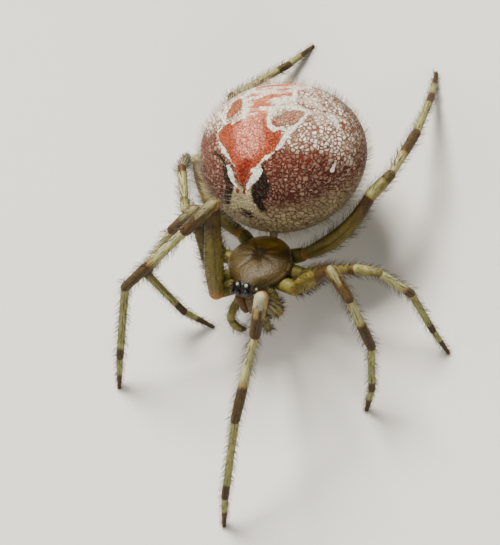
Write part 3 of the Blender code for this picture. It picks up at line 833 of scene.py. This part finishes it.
fangs = bmesh.new()
for side in SIDES.values():
    down = CARAPACE_FLOOR - CHELICERA_LENGTH
    tip = body @ Vector((side * FANG_APART, -CHELICERA_AHEAD - FANG_AHEAD, down))
    ahead = body.to_3x3() @ Vector((-side * 0.9, 0.25, -0.45))
    inwards = body.to_3x3() @ Vector((0, 0.9, 0.2))
    merged(fangs, hooked(tip, ahead, inwards, FANG_LENGTH, FANG_WIDTH))
fang_piece = finished("fangs", fangs, fang_material)

claws = bmesh.new()
for leg in STANCE:
    points, directions = joints_of(leg)
    ahead = directions[-1].normalized()
    level = Vector((ahead.x, ahead.y, 0)).normalized()
    sideways = level.cross(Vector((0, 0, 1)))
    root = points[-1] - ahead * CLAW_ROOT + Vector((0, 0, CLAW_ROOT))
    for spread, share in ((-CLAW_SPREAD, 1), (0, CLAW_MIDDLE), (CLAW_SPREAD, 1)):
        turn = math.radians(spread)
        out = level * math.cos(turn) + sideways * math.sin(turn) + Vector((0, 0, CLAW_LIFT))
        claw = hooked(root, out, Vector((0, 0, -CLAW_CURL)), CLAW_LENGTH * share, CLAW_WIDTH)
        for vert in claw.verts:
            vert.co.z = max(vert.co.z, CLAW_REST)
        merged(claws, claw)
claw_piece = finished("claws", claws, fang_material)


# Abdomen: a soft globe of thin clear skin. Under it lie white and cream cells and red and brown
# pigment, which draw the wavy band with its white border and the black patches in front.
ABDOMEN_AT = Vector((0.19, 1.64, 1.50))
ABDOMEN_WIDTH = 2.72
ABDOMEN_LENGTH = 2.36
ABDOMEN_RISE = 1.14
ABDOMEN_DROP = 1.00
ABDOMEN_ROLL = 14
LUMPS = 14.5
LOW_CELLS = 11.5
CELL_RANDOM = 0.85
HAIR_SHARE = 0.45
ABDOMEN_CUTS = 7
PEDICEL_WIDTH = 0.15
PEDICEL_HIDDEN = 0.12
PEDICEL_REACH = 0.35
PEDICEL_MESH = (20, 30)
PEDICEL_ROOT = (0, 0.55, 0.15)
PEDICEL_SHARES = ((0, 0.9), (0.3, 1.0), (0.5, 0.85), (0.7, 1.05), (1, 1.3))
MEAN_RADIUS = 1.25

abdomen_frame = Matrix.Translation(ABDOMEN_AT) @ Matrix.Rotation(-math.radians(ABDOMEN_ROLL), 4, "Y")


def abdomen_points(ball):
    """Points of the abdomen in its own frame from points of a unit ball, one a row."""
    x, y, z = ball.T
    under = np.maximum(0, -z)
    height = np.where(z > 0, ABDOMEN_RISE, ABDOMEN_DROP)
    half_width = ABDOMEN_WIDTH / 2 * (1 + 0.05 * y) * (1 - 0.10 * under**2)
    return np.stack((x * half_width, y * ABDOMEN_LENGTH / 2 * (1 - 0.04 * under), z * height), axis=1)


def on_ball(back, side):
    """The point of a unit ball at angles behind the top and towards the spider's left."""
    back, side = np.radians(back), np.radians(side)
    return np.array((np.sin(side), np.cos(side) * np.sin(back), np.cos(side) * np.cos(back)))


def outside(ball, strokes):
    """How far points lie outside the nearest of some strokes, in millimetres, below 0 inside.
    A stroke is a line of (back, side, width) points, and one point alone is a spot."""
    nearest = np.full(len(ball), 9.0)
    for stroke in strokes:
        stations = [(on_ball(back, side), width) for back, side, width in stroke]
        for (a, wide_a), (b, wide_b) in zip(stations, stations[1:] or stations):
            run = b - a
            share = np.clip((ball - a) @ run / max(run @ run, 1e-9), 0, 1)
            apart = np.linalg.norm(ball - a - share[:, None] * run, axis=1) * MEAN_RADIUS
            nearest = np.minimum(nearest, apart - (wide_a + (wide_b - wide_a) * share) / 2)
    return nearest


# Strokes of each kind of marking on the abdomen: back and side angles and a width in millimetres
WHITE = (
    (
        (12, -23, 0.03), (6, -30, 0.04), (-4, -27.5, 0.04), (-13, -21, 0.09), (-18, -17, 0.05),
        (-24, -13, 0.04),
    ),
    ((-25, -18, 0.06), (-28, -16, 0.11), (-33, -16, 0.12), (-37, -14, 0.08), (-41, -14, 0.05)),
    ((25, 34, 0.05), (13, 31, 0.08), (5, 26, 0.10), (-2, 23, 0.10), (-9, 21, 0.08), (-14, 17, 0.06)),
    ((-14, 17, 0.06), (-19, 11, 0.06), (-23, 7, 0.06), (-27, 5, 0.06)),
    ((-28, 2, 0.09), (-29, 6, 0.13), (-34, 3, 0.14), (-38, -1, 0.11), (-43, -5, 0.08), (-47, -7, 0.05)),
    (
        (40, -18, 0.07), (30, -12, 0.07), (22, -8, 0.06), (15, -8, 0.07), (12, -12, 0.06),
        (11, -17, 0.06),
    ),
    ((28, 13, 0.09), (18, 9, 0.07), (13, 9, 0.08), (7, 12, 0.10), (4, 16, 0.09), (6, 21, 0.08)),
    ((26, 15, 0.07), (28, 26, 0.09), (27, 36, 0.08)),
    ((32, -39, 0.09), (18, -27, 0.11), (11, -24, 0.08)),
    ((20, -30, 0.05), (31, -30, 0.05), (40, -24, 0.07)),
    ((38, 50, 0.14), (31, 56, 0.12)),
    ((-37, 58, 0.08), (-29, 61, 0.05)),
)
BLACK = (
    ((-13, -32, 0.05), (-17, -25, 0.07), (-22, -21, 0.05)),
    ((-26, -21, 0.08), (-33, -20, 0.12), (-41, -19, 0.12), (-52, -24, 0.14), (-58, -26, 0.10)),
    ((-28, 9, 0.08), (-37, 4, 0.12), (-43, 1, 0.10), (-51, 1, 0.12), (-60, 3, 0.12)),
    ((-32, 7, 0.16), (-40, 8, 0.20), (-49, 6, 0.16)),
    ((-62, -14, 0.05), (-65, -12, 0.08), (-68, -9, 0.09), (-72, -10, 0.05)),
    ((-62, -17, 0.03), (-67, -16, 0.04), (-71, -13, 0.04)),
)
CREAM = (
    ((-40, -12, 0.08), (-46, -14, 0.12), (-55, -17, 0.16)),
    ((-43, -9, 0.07), (-49, -9, 0.12)),
    ((-42, -3, 0.10), (-47, -5, 0.12), (-56, -6, 0.15)),
    ((-62, -22, 0.12), (-56, -12, 0.20), (-59, -3, 0.16)),
    ((-63, -4, 0.10), (-70, 2, 0.08)),
)
RED_SPOTS = (
    ((-44, -12.5, 0.05), (-46, -13, 0.05)),
    ((-42, -6, 0.03), (-46, -7.5, 0.05)),
    ((40, 59, 0.05), (34, 61, 0.04)),
)
APEX = (((-22, -2, 0.10), (-27, -5, 0.18), (-33, -6.5, 0.11), (-38, -7, 0.05), (-42, -7.5, 0.02)),)
ROSE = (((14, -1, 0.26), (2, -3, 0.42), (-8, -1, 0.36), (-14, -2, 0.16)),)
RUST = (((34, -20, 0.10), (26, -19, 0.16), (20, -21, 0.10)),)
FAWN = (((12, 18, 0.10), (17, 25, 0.18), (22, 33, 0.14)),)
EMBER = (
    ((-24, 14, 0.20), (-19, 28, 0.30), (-20, 40, 0.26), (-17, 54, 0.20)),
    ((-22, -38, 0.34), (-4, -46, 0.42), (8, -52, 0.30)),
    ((0, -36, 0.34), (-12, -33, 0.34)),
)
LUNG_COVERS = (((-120, -18, 0.26), (-112, -14, 0.20)), ((-120, 18, 0.26), (-112, 14, 0.20)))
FURROW = (
    ((-129, -30, 0.02), (-133, 0, 0.04), (-129, 30, 0.02)),
    ((-126, 0, 0.16), (-129, 0, 0.12)),
    ((140, 0, 0.40),),
)
BAND_MIDDLE = (
    (-42, -7.5), (-35, -6.5), (-26, -4.3), (-20, -3.8), (-14, -2), (-4, -3), (6, -5), (10, -3.5),
    (15, 0.5), (120, 0.5),
)
BAND_HALF = (
    (-42, 0), (-40, 1), (-35, 4), (-26, 8), (-20, 12.5), (-14, 18.5), (-4, 24.5), (6, 25.5), (10, 20),
    (15, 8.5), (22, 8.5), (30, 12), (40, 18), (52, 13), (66, 19), (80, 10), (92, 13), (106, 5), (118, 2),
)
BAND_ENDS = (-42, 118)


def table(stations, values):
    """Values read between (place, value) stations."""
    places, levels = zip(*stations)
    return np.interp(values, places, levels)


def markings(ball):
    """The named fields of the abdomen's pattern at points of the unit ball."""
    back = np.degrees(np.arctan2(ball[:, 1], ball[:, 2]))
    side = np.degrees(np.arcsin(np.clip(ball[:, 0], -1, 1)))
    off_middle = np.abs(side - table(BAND_MIDDLE, back))
    band = (off_middle - table(BAND_HALF, back)) * math.radians(MEAN_RADIUS)
    strokes = {
        "white": WHITE, "black": BLACK, "cream": CREAM, "spots": RED_SPOTS, "apex": APEX, "rose": ROSE,
        "rust": RUST, "fawn": FAWN, "ember": EMBER, "covers": LUNG_COVERS, "furrow": FURROW,
    }
    return {
        "band": np.where((back < BAND_ENDS[0]) | (back > BAND_ENDS[1]), 1.0, band),
        **{name: outside(ball, lines) for name, lines in strokes.items()},
        "ahead": -ball[:, 1],
        "height": ball[:, 2],
    }


def with_attributes(mesh, fields):
    """Keeps named values, one a point, on a mesh."""
    for name, values in fields.items():
        layer = mesh.attributes.new(name, "FLOAT", "POINT")
        layer.data.foreach_set("value", np.asarray(values, dtype=np.float32))


hide = Finish("abdomen skin", Roughness=0.5, Specular_IOR_Level=0.14)
blur = hide.warped(15, 0.075)
edge = (hide.noise(11, 4) - 0.5) * 0.10
fine_edge = (hide.noise(30, 3) - 0.5) * 0.05
patchy = hide.noise(2.6, 3)
drift = patchy - 0.5
ahead = hide.attribute("ahead")
height_up = hide.attribute("height")


def inside(name, coarse, fine, start, end):
    """1 inside the strokes of a name and 0 outside, the edge between made ragged."""
    return hide.step(hide.attribute(name) + edge * coarse + fine_edge * fine, start, end)


# Lumps of white matter under the skin: pale and crowded above, reddish and sparser on the flanks
between = hide.cells(LUMPS, place=blur, random=CELL_RANDOM)
chance = hide.cells(LUMPS, "F1", blur, "Color", CELL_RANDOM)
front_flank = hide.step(ahead + edge * 1.5 + drift * 0.35, 0.00, 0.30)
rear_flank = hide.step(height_up + edge * 1.5 + drift * 0.35, 0.45, 0.05)
ember = inside("ember", 1.5, 0, 0.12, -0.14)
dusky = front_flank.most(rear_flank).most(ember)
present = hide.step(chance + drift * 0.6 - dusky * 0.02, 0.10, 0.20)
rounded = hide.step(hide.cells(LUMPS, "F1", blur, random=CELL_RANDOM), 0.82, 0.56)
lump = hide.step(between + edge * 1.6 + fine_edge * 1.6, 0.03, 0.24) * present * rounded
pale_lump = hide.step(chance + drift * 0.5, 0.60, 0.80)
lump_colour = hide.mix(pale_lump, (0.210, 0.108, 0.074), (0.330, 0.215, 0.155))
whiter = hide.step(chance + fine_edge * 4, 0.25, 0.65)
upper_lump = hide.mix(whiter, (0.640, 0.480, 0.370), (0.900, 0.830, 0.720))
lump_colour = hide.mix(dusky, upper_lump, lump_colour)
ground_colour = hide.mix(patchy, (0.032, 0.006, 0.003), (0.092, 0.016, 0.008))
ground_colour = hide.mix(ember, ground_colour, (0.100, 0.014, 0.007))
upper_ground = hide.mix(patchy, (0.110, 0.042, 0.025), (0.220, 0.100, 0.060))
ground_colour = hide.mix(dusky, upper_ground, ground_colour)
hide.colour = hide.mix(lump * (1 - ember * 0.42), ground_colour, lump_colour)

# Low down the lumps touch, as olive cells with dark walls
wall = hide.cells(LOW_CELLS, place=blur, random=CELL_RANDOM)
front_low = hide.step(ahead - height_up * 0.93 + edge * 3.5 + drift * 0.5, 0.16, 0.70)
rear_low = hide.step(height_up + edge * 1.5, -0.10, -0.45)
low = front_low.most(rear_low)
cell = hide.cells(LOW_CELLS, "F1", blur, "Color", CELL_RANDOM)
olive_cell = hide.mix(cell, (0.190, 0.140, 0.068), (0.420, 0.335, 0.200))
low_colour = hide.mix(hide.step(wall + fine_edge, 0.00, 0.13), (0.050, 0.024, 0.012), olive_cell)
hide.over(low, low_colour)
relief = lump * (1 - low) + hide.step(wall, 0.0, 0.2) * low

# The red band, pink in its middle and streaked with white and orange behind
weave = hide.step(hide.cells(22, place=blur) + fine_edge, 0.01, 0.18)
band = inside("band", 0, 1, 0.02, -0.02)
band_colour = hide.mix(patchy, (0.285, 0.052, 0.019), (0.375, 0.096, 0.040))
band_colour = hide.mix(weave, (0.210, 0.022, 0.008), band_colour)
rose_colour = hide.mix(weave, (0.330, 0.070, 0.035), (0.680, 0.310, 0.230))
band_colour = hide.mix(inside("rose", 1, 0, 0.12, -0.08), band_colour, rose_colour)
drawn = hide.vector("MULTIPLY", {0: blur, 1: (2.0, 11.0, 7.0)})
streak = hide.noise(1.0, 3, drawn)
behind = hide.step(ahead + edge, -0.16, -0.34)
high_behind = behind * hide.step(height_up, 0.35, 0.60)
streak_colour = hide.mix(hide.step(streak, 0.44, 0.56), (0.430, 0.130, 0.055), (0.900, 0.770, 0.660))
band_colour = hide.mix(behind * 0.85, band_colour, streak_colour)
apex_colour = hide.mix(weave, (0.110, 0.010, 0.004), (0.220, 0.022, 0.007))
band_colour = hide.mix(inside("apex", 0, 1, 0.05, -0.02), band_colour, apex_colour)
hide.over(band, band_colour)
beside = high_behind * hide.step(streak, 0.46, 0.56) * (1 - band)
rim = inside("band", 1, 0, 0.10, 0.05) * (1 - band) * behind
hide.over(rim, (0.780, 0.740, 0.620))
hide.over(beside * 0.5, (0.800, 0.700, 0.600))

for patch, deep, light in (
    ("rust", (0.150, 0.035, 0.010), (0.350, 0.110, 0.040)),
    ("fawn", (0.200, 0.080, 0.045), (0.400, 0.215, 0.150)),
):
    hide.over(inside(patch, 0.8, 0, 0.06, 0.04) * 0.8, (0.100, 0.045, 0.026))
    hide.over(inside(patch, 0.8, 0, 0.045, 0.01), hide.mix(weave, deep, light))

# The pale column in front, the black patches at its sides, the white border of the band, the marks
# below and the small red spots: each one's edge, coarse and fine, start, end and two colours
for mark, coarse, fine, start, end, deep, light in (
    ("cream", 0, 1, 0.030, -0.020, (0.210, 0.165, 0.075), (0.480, 0.440, 0.270)),
    ("black", 0.9, 0, 0.020, -0.015, (0.010, 0.004, 0.002), (0.040, 0.017, 0.009)),
    ("white", 1.1, 1, 0.000, -0.020, (0.560, 0.580, 0.470), (0.790, 0.830, 0.740)),
    ("covers", 0.5, 0, 0.030, -0.020, (0.230, 0.140, 0.050), (0.360, 0.250, 0.110)),
    ("furrow", 0.5, 0, 0.030, -0.030, (0.035, 0.015, 0.006), (0.085, 0.040, 0.015)),
    ("spots", 0, 1, 0.015, -0.005, (0.170, 0.030, 0.012), (0.170, 0.030, 0.012)),
):
    texture = weave * lump if mark == "black" else weave
    hide.over(inside(mark, coarse, fine, start, end), hide.mix(texture, deep, light))

# The hairs wear the markings of the skin under them, nearly halved by their own brown or straw
hair_colour = hide.mix(hide.attribute("shade"), (0.060, 0.040, 0.020), (0.600, 0.560, 0.400))
hide.over(hide.attribute("hair") * HAIR_SHARE, hair_colour)
hide_material = hide.paint(hide.colour, None, relief + weave * 0.3, 0.020)

globe = bmesh.new()
bmesh.ops.create_icosphere(globe, subdivisions=ABDOMEN_CUTS, radius=1)
ball = np.array([vert.co[:] for vert in globe.verts])
fields = markings(ball)
for vert, place in zip(globe.verts, abdomen_points(ball)):
    vert.co = place
abdomen = finished("abdomen_skin", globe, hide_material, turn=abdomen_frame)
with_attributes(abdomen.data, fields)
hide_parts("abdomen")

stalk_root = body @ Vector(PEDICEL_ROOT)
hidden_end = stalk_root - body.to_3x3() @ Vector((0, PEDICEL_HIDDEN, 0))
stalk_line = (hidden_end, stalk_root, stalk_root + (ABDOMEN_AT - stalk_root) * PEDICEL_REACH)
radii = [(t, PEDICEL_WIDTH / 2 * share) for t, share in PEDICEL_SHARES]
stalk_mesh = swept(stalk_line, radii, *PEDICEL_MESH)
stalk = finished("stalk", stalk_mesh, plate_material)


# Spinnerets: six short tubes on a low ring under the abdomen's rear, of pale brown cuticle with
# narrower tips, set evenly round one another.
SPINNERETS_TURN = 40
SPINNERET_WIDTH = 0.13
SPINNERET_LENGTH = 0.20
SPINNERET_COUNT = 6
# How far out each tube stands and its radius, as shares of the width, and its share of the length
TUBE_OUT = 0.42
TUBE_RADIUS = 0.32
TUBE_LENGTH = 0.62
TUBE_LEAN = 0.10
RING_SHAPE = ((0, -0.1), (0.8, -0.08), (0.85, 0.0), (0.7, 0.05), (0, 0.06))
TUBE_SHAPE = (
    (0, -0.1), (0.9, -0.05), (1.0, 0.25), (1.05, 0.5), (0.9, 0.62), (0.94, 0.66), (0.72, 0.95),
    (0.3, 1.08), (0, 1.1),
)

turn_down = math.radians(SPINNERETS_TURN)
foot_ball = np.array(((0, math.sin(turn_down), -math.cos(turn_down)),))
foot = abdomen_frame @ Vector(abdomen_points(foot_ball)[0])
down = Vector((-0.15, 0.5, -1)).normalized()
spin_side = down.cross(Vector((0, 0, 1))).normalized()
spin_fore = down.cross(spin_side)
tubes = turned([(SPINNERET_WIDTH * wide, up) for wide, up in RING_SHAPE], 28)
tubes.transform(along(foot, down))
for i in range(SPINNERET_COUNT):
    angle = math.tau * (i + 0.5) / SPINNERET_COUNT
    lean = spin_side * math.cos(angle) + spin_fore * math.sin(angle)
    start = foot + lean * SPINNERET_WIDTH * TUBE_OUT
    radius = SPINNERET_WIDTH * TUBE_RADIUS
    tube_mesh = turned([(radius * a, b * SPINNERET_LENGTH * TUBE_LENGTH) for a, b in TUBE_SHAPE], 20)
    merged(tubes, tube_mesh, along(start, down + lean * TUBE_LEAN))
spinnerets = finished("spinning_tubes", tubes, plate_material)
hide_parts("spinnerets")


# Hairs: fine curved bristles of clear brown cuticle, each out of its own socket. They lie towards the
# tips of the legs and the rear of the abdomen, and long ones stand up at the joints.
HAIR_STATIONS = ((0, 1), (0.35, 0.85), (0.7, 0.55))
HAIR_POINTS = 3 * len(HAIR_STATIONS) + 1
HAIR_BEND = 0.28
HAIR_DROOP = 0.12
HAIR_SINK = 0.012
PATCH = 0.003
rng = np.random.default_rng(11)


def unit(rows):
    return rows / np.linalg.norm(rows, axis=1)[:, None]


def coat(name, material, rows, lean, radius, fields):
    """One mesh of curved three-sided hairs. Each leaves its root near the outward row, leans towards
    the lie and ends more along it. Places are the roots' spots on the skin's own unwrap."""
    roots, outs, lies, lengths, places = rows
    lean = math.radians(lean)
    count = len(roots)
    lies = unit(lies - outs * np.sum(lies * outs, axis=1)[:, None])
    across = np.cross(outs, lies)
    start = unit(outs * math.cos(lean) + lies * math.sin(lean))
    upright = np.cross(across, start)
    bend = lies * HAIR_BEND - outs * HAIR_DROOP
    base = roots - start * HAIR_SINK
    rings = []
    for share, thick in HAIR_STATIONS:
        middle = base + lengths[:, None] * (start * share + bend * share**2)
        for corner in range(3):
            angle = math.tau * corner / 3
            out = across * math.cos(angle) + upright * math.sin(angle)
            rings.append(middle + radius * thick * out)
    rings.append(base + lengths[:, None] * (start + bend))
    verts = np.stack(rings, axis=1).reshape(-1, 3) * MM + np.array(HOME) * MM

    sides = [(3 * k + i, 3 * k + (i + 1) % 3) for k in range(3) for i in range(3)]
    quads = np.array([(a, b, b + 3, a + 3) for a, b in sides[:6]])
    points = np.array([(a, b, 9) for a, b in sides[6:]] + [(2, 1, 0)])
    first = (np.arange(count) * HAIR_POINTS)[:, None, None]
    faces = (quads + first).reshape(-1, 4).tolist() + (points + first).reshape(-1, 3).tolist()
    mesh = bpy.data.meshes.new(name)
    mesh.from_pydata(verts.tolist(), [], faces)
    mesh.shade_smooth()
    mesh.materials.append(material)

    corner_verts = np.empty(len(mesh.loops), dtype=np.int32)
    mesh.loops.foreach_get("vertex_index", corner_verts)
    spots = np.array([((k % 3) / 2 - 0.5, k // 3 / 3 - 0.5) for k in range(9)] + [(0, 0.5)]) * PATCH
    flat = places[corner_verts // HAIR_POINTS] + spots[corner_verts % HAIR_POINTS]
    mesh.uv_layers.new(name="OFBake").data.foreach_set("uv", flat.astype(np.float32).ravel())
    with_attributes(mesh, {field: np.repeat(values, HAIR_POINTS) for field, values in fields.items()})
    made = linked(name, mesh)
    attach(made, "root")


hair = Finish("leg hair", Roughness=0.45, Specular_IOR_Level=0.4)
lighter = hair.attribute("shade") + (hair.noise(9) - 0.5) * 0.3
brown_hair = hair.paint(hair.mix(lighter, (0.010, 0.006, 0.004), (0.080, 0.055, 0.022)))

# Abdomen hairs stand all over it but round the stalk, and lie towards the spinnerets
ABDOMEN_HAIRS = 4200
ABDOMEN_HAIR = (0.12, 0.19)
ABDOMEN_HAIR_RADIUS = 0.0026
ABDOMEN_HAIR_LEAN = 20
ABDOMEN_HAIR_LIE = (0.0, 1.0, -0.25)
BARE_FRONT = -0.985
DARK_HAIRS = 0.06
seeds = unit(rng.normal(size=(ABDOMEN_HAIRS, 3)))
seeds = seeds[seeds[:, 1] > BARE_FRONT]
turn3 = np.array(abdomen_frame.to_3x3())
places = abdomen_points(seeds) @ turn3.T + np.array(ABDOMEN_AT)
reach = np.array((ABDOMEN_WIDTH / 2, ABDOMEN_LENGTH / 2, (ABDOMEN_RISE + ABDOMEN_DROP) / 2))
outs = unit(seeds / reach) @ turn3.T
lies = np.tile(ABDOMEN_HAIR_LIE, (len(seeds), 1)) @ turn3.T
round_about = np.arctan2(seeds[:, 0], seeds[:, 2]) / math.tau + 0.5
unwrap = np.stack((round_about, (seeds[:, 1] + 1) / 2), axis=1) * 0.98 + 0.01
lengths = rng.uniform(*ABDOMEN_HAIR, len(seeds))
shade = np.where(rng.random(len(seeds)) < DARK_HAIRS, 0.0, rng.uniform(0.6, 1.0, len(seeds)))
worn = {**markings(seeds), "shade": shade, "hair": np.ones(len(seeds))}
rows = (places, outs, lies, lengths, unwrap)
coat("abdomen_hair", hide_material, rows, ABDOMEN_HAIR_LEAN, ABDOMEN_HAIR_RADIUS, worn)

# Leg hairs: rows along every podomere, finer and closer towards the tip, with tall bristles above
LEG_HAIRS = {"femur": 340, "patella": 260, "tibia": 290, "metatarsus": 310, "tarsus": 340}
LEG_HAIR = {"femur": 0.15, "patella": 0.14, "tibia": 0.15, "metatarsus": 0.12, "tarsus": 0.09}
HAIR_CLEARANCE = 0.006
BRISTLES = {"patella": ((0.12, 0.15), (0.92, 0.26)), "tibia": ((0.16, 0.30), (0.62, 0.27))}
HAIR_ROWS = 14
ROW_SCATTER = 0.16
LEG_HAIR_SPREAD = (0.7, 1.2)
PALP_HAIR_SPREAD = (0.6, 1.2)
LEG_HAIR_RADIUS = 0.0029
LEG_HAIR_LEAN = 30
BRISTLE_RADIUS = 0.0062
BRISTLE_LEAN = 28
# Both hold the rows of roots, outward and lying directions, lengths and places of their hairs
hairs = ([], [], [], [], [])
bristles = ([], [], [], [], [])
for row, leg in enumerate(STANCE):
    walked = 0
    whole = sum(direction.length for direction in joints_of(leg)[1][1:])
    for kind, start, direction, profile, bow in podomeres_of(leg):
        radii, heights = np.array(profile).T
        turn = np.array(along(start, direction))
        count = round(LEG_HAIRS[kind] * direction.length)
        t = (np.arange(count) + rng.random(count)) / count
        spoke = rng.integers(0, HAIR_ROWS, count) + rng.normal(0, ROW_SCATTER, count)
        long = LEG_HAIR[kind] * rng.uniform(*LEG_HAIR_SPREAD, count)
        tall_t, tall = np.array(BRISTLES.get(kind, ())).reshape(-1, 2).T
        fine_rows = (hairs, t, spoke * math.tau / HAIR_ROWS, long)
        for lists, t, around, long in (fine_rows, (bristles, tall_t, np.zeros(len(tall)), tall)):
            radius = np.interp(t * direction.length, heights, radii)
            swell = 4 * t * (1 - t)
            x = radius * np.cos(around) + bow[0] * swell
            y = radius * np.sin(around) + bow[1] * swell
            spots = np.stack((x, y, t * direction.length), axis=1) @ turn[:3, :3].T + turn[:3, 3]
            out = np.stack((np.cos(around), np.sin(around), np.zeros(len(t))), axis=1)
            out = out @ turn[:3, :3].T
            lie = np.tile(turn[:3, 2], (len(t), 1))
            clear = spots[:, 2] + (out[:, 2] * 0.75 + lie[:, 2] * 0.78) * long > HAIR_CLEARANCE
            strip = (row + (around / math.tau) % 1 * 0.94 + 0.03) / len(STANCE)
            run = (walked + t * direction.length) / whole * 0.96 + 0.02
            for kept, values in zip(lists, (spots, out, lie, long, np.stack((strip, run), axis=1))):
                kept.append(values[clear])
        walked += direction.length

# Palp hairs grow on the rings of their tubes, from a short way past the roots to the tips
PALP_HAIRS = 260
PALP_HAIR = 0.11
PALP_BARE = 30
for row, palp in enumerate(palps):
    spots = np.empty(len(palp.data.vertices) * 3)
    palp.data.vertices.foreach_get("co", spots)
    rows = spots.reshape(-1, 3)[: PALP_SIDES * (PALP_RINGS + 1)] / MM - np.array(HOME)
    rows = rows.reshape(PALP_RINGS + 1, PALP_SIDES, 3)
    middles = rows.mean(axis=1)
    ring = rng.integers(PALP_BARE, PALP_RINGS - 2, PALP_HAIRS)
    spoke = rng.integers(0, PALP_SIDES, PALP_HAIRS)
    found = (
        rows[ring, spoke],
        unit(rows[ring, spoke] - middles[ring]),
        middles[ring + 1] - middles[ring],
        PALP_HAIR * rng.uniform(*PALP_HAIR_SPREAD, PALP_HAIRS),
        np.stack(((row + spoke / PALP_SIDES) / 16, ring / PALP_RINGS * 0.018), axis=1),
    )
    for kept, values in zip(hairs, found):
        kept.append(values)

hairs = [np.concatenate(rows) for rows in hairs]
bristles = [np.concatenate(rows) for rows in bristles]
worn = {"shade": rng.uniform(0, 1, len(hairs[0]))}
coat("leg_hair", brown_hair, hairs, LEG_HAIR_LEAN, LEG_HAIR_RADIUS, worn)
worn = {"shade": np.zeros(len(bristles[0]))}
coat("leg_bristles", brown_hair, bristles, BRISTLE_LEAN, BRISTLE_RADIUS, worn)


# Floor, light and camera: a plain pale ground and soft light from above and behind the spider.
bm = bmesh.new()
bmesh.ops.create_grid(bm, x_segments=1, y_segments=1, size=1.0)
mesh = bpy.data.meshes.new("floor")
bm.to_mesh(mesh)
bm.free()
ground = Finish("ground", Roughness=0.9)
ground_grey = ground.mix(ground.noise(0.2), (0.58, 0.57, 0.55), (0.62, 0.61, 0.59))
mesh.materials.append(ground.paint(ground_grey))
floor = linked("floor", mesh)
floor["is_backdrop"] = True

MIDDLE = Vector((0, 0, 0.0015))
WARM = (1.0, 0.94, 0.84)
SKY = (0.92, 0.91, 0.86, 1)
SKY_STRENGTH = 0.29
# Each light's place and width in metres, and its power
LIGHTS = {
    "key": ((-0.14, 0.30, 0.42), 0.20, 8.9),
    "fill": ((-0.40, -0.10, 0.30), 0.30, 1.5),
    "front": ((0.20, -0.42, 0.28), 0.30, 1.3),
}
for light_name, (light_at, size, power) in LIGHTS.items():
    lamp = bpy.data.lights.new(light_name, "AREA")
    lamp.size = size
    lamp.energy = power
    lamp.color = WARM
    lamp_object = linked(light_name, lamp)
    lamp_object.location = light_at
    lamp_object.rotation_euler = (Vector(light_at) - MIDDLE).to_track_quat("Z", "Y").to_euler()

world = bpy.data.worlds.new("studio")
world.use_nodes = True
world.node_tree.nodes["Background"].inputs["Color"].default_value = SKY
world.node_tree.nodes["Background"].inputs["Strength"].default_value = SKY_STRENGTH
bpy.context.scene.world = world

CAMERA_RIGHT = Vector((0.9664, 0.1446, -0.2127))
CAMERA_UP = Vector((-0.0693, 0.9428, 0.3260))
CAMERA_BACK = Vector((0.2477, -0.3003, 0.9211))
PIXEL = 0.0155
PICTURE = 545
SENSOR = 36
CAMERA_FAR = 300
AIM = Vector((0, 0, 1.152)) - CAMERA_RIGHT * 0.186 - CAMERA_UP * 0.11625
camera_data = bpy.data.cameras.new("camera")
camera_data.sensor_width = SENSOR
camera_data.lens = SENSOR * CAMERA_FAR / (PICTURE * PIXEL)
camera_data.clip_start = 0.001
camera = linked("camera", camera_data)
turn = Matrix((CAMERA_RIGHT, CAMERA_UP, CAMERA_BACK)).transposed().to_4x4()
camera.matrix_world = Matrix.Translation((AIM + HOME + CAMERA_BACK * CAMERA_FAR) * MM) @ turn
bpy.context.scene.camera = camera

boxes = {"cad": cad_box, "visual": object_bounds()}
sizes = {name: [list(map(float, corner)) for corner in box] for name, box in boxes.items()}
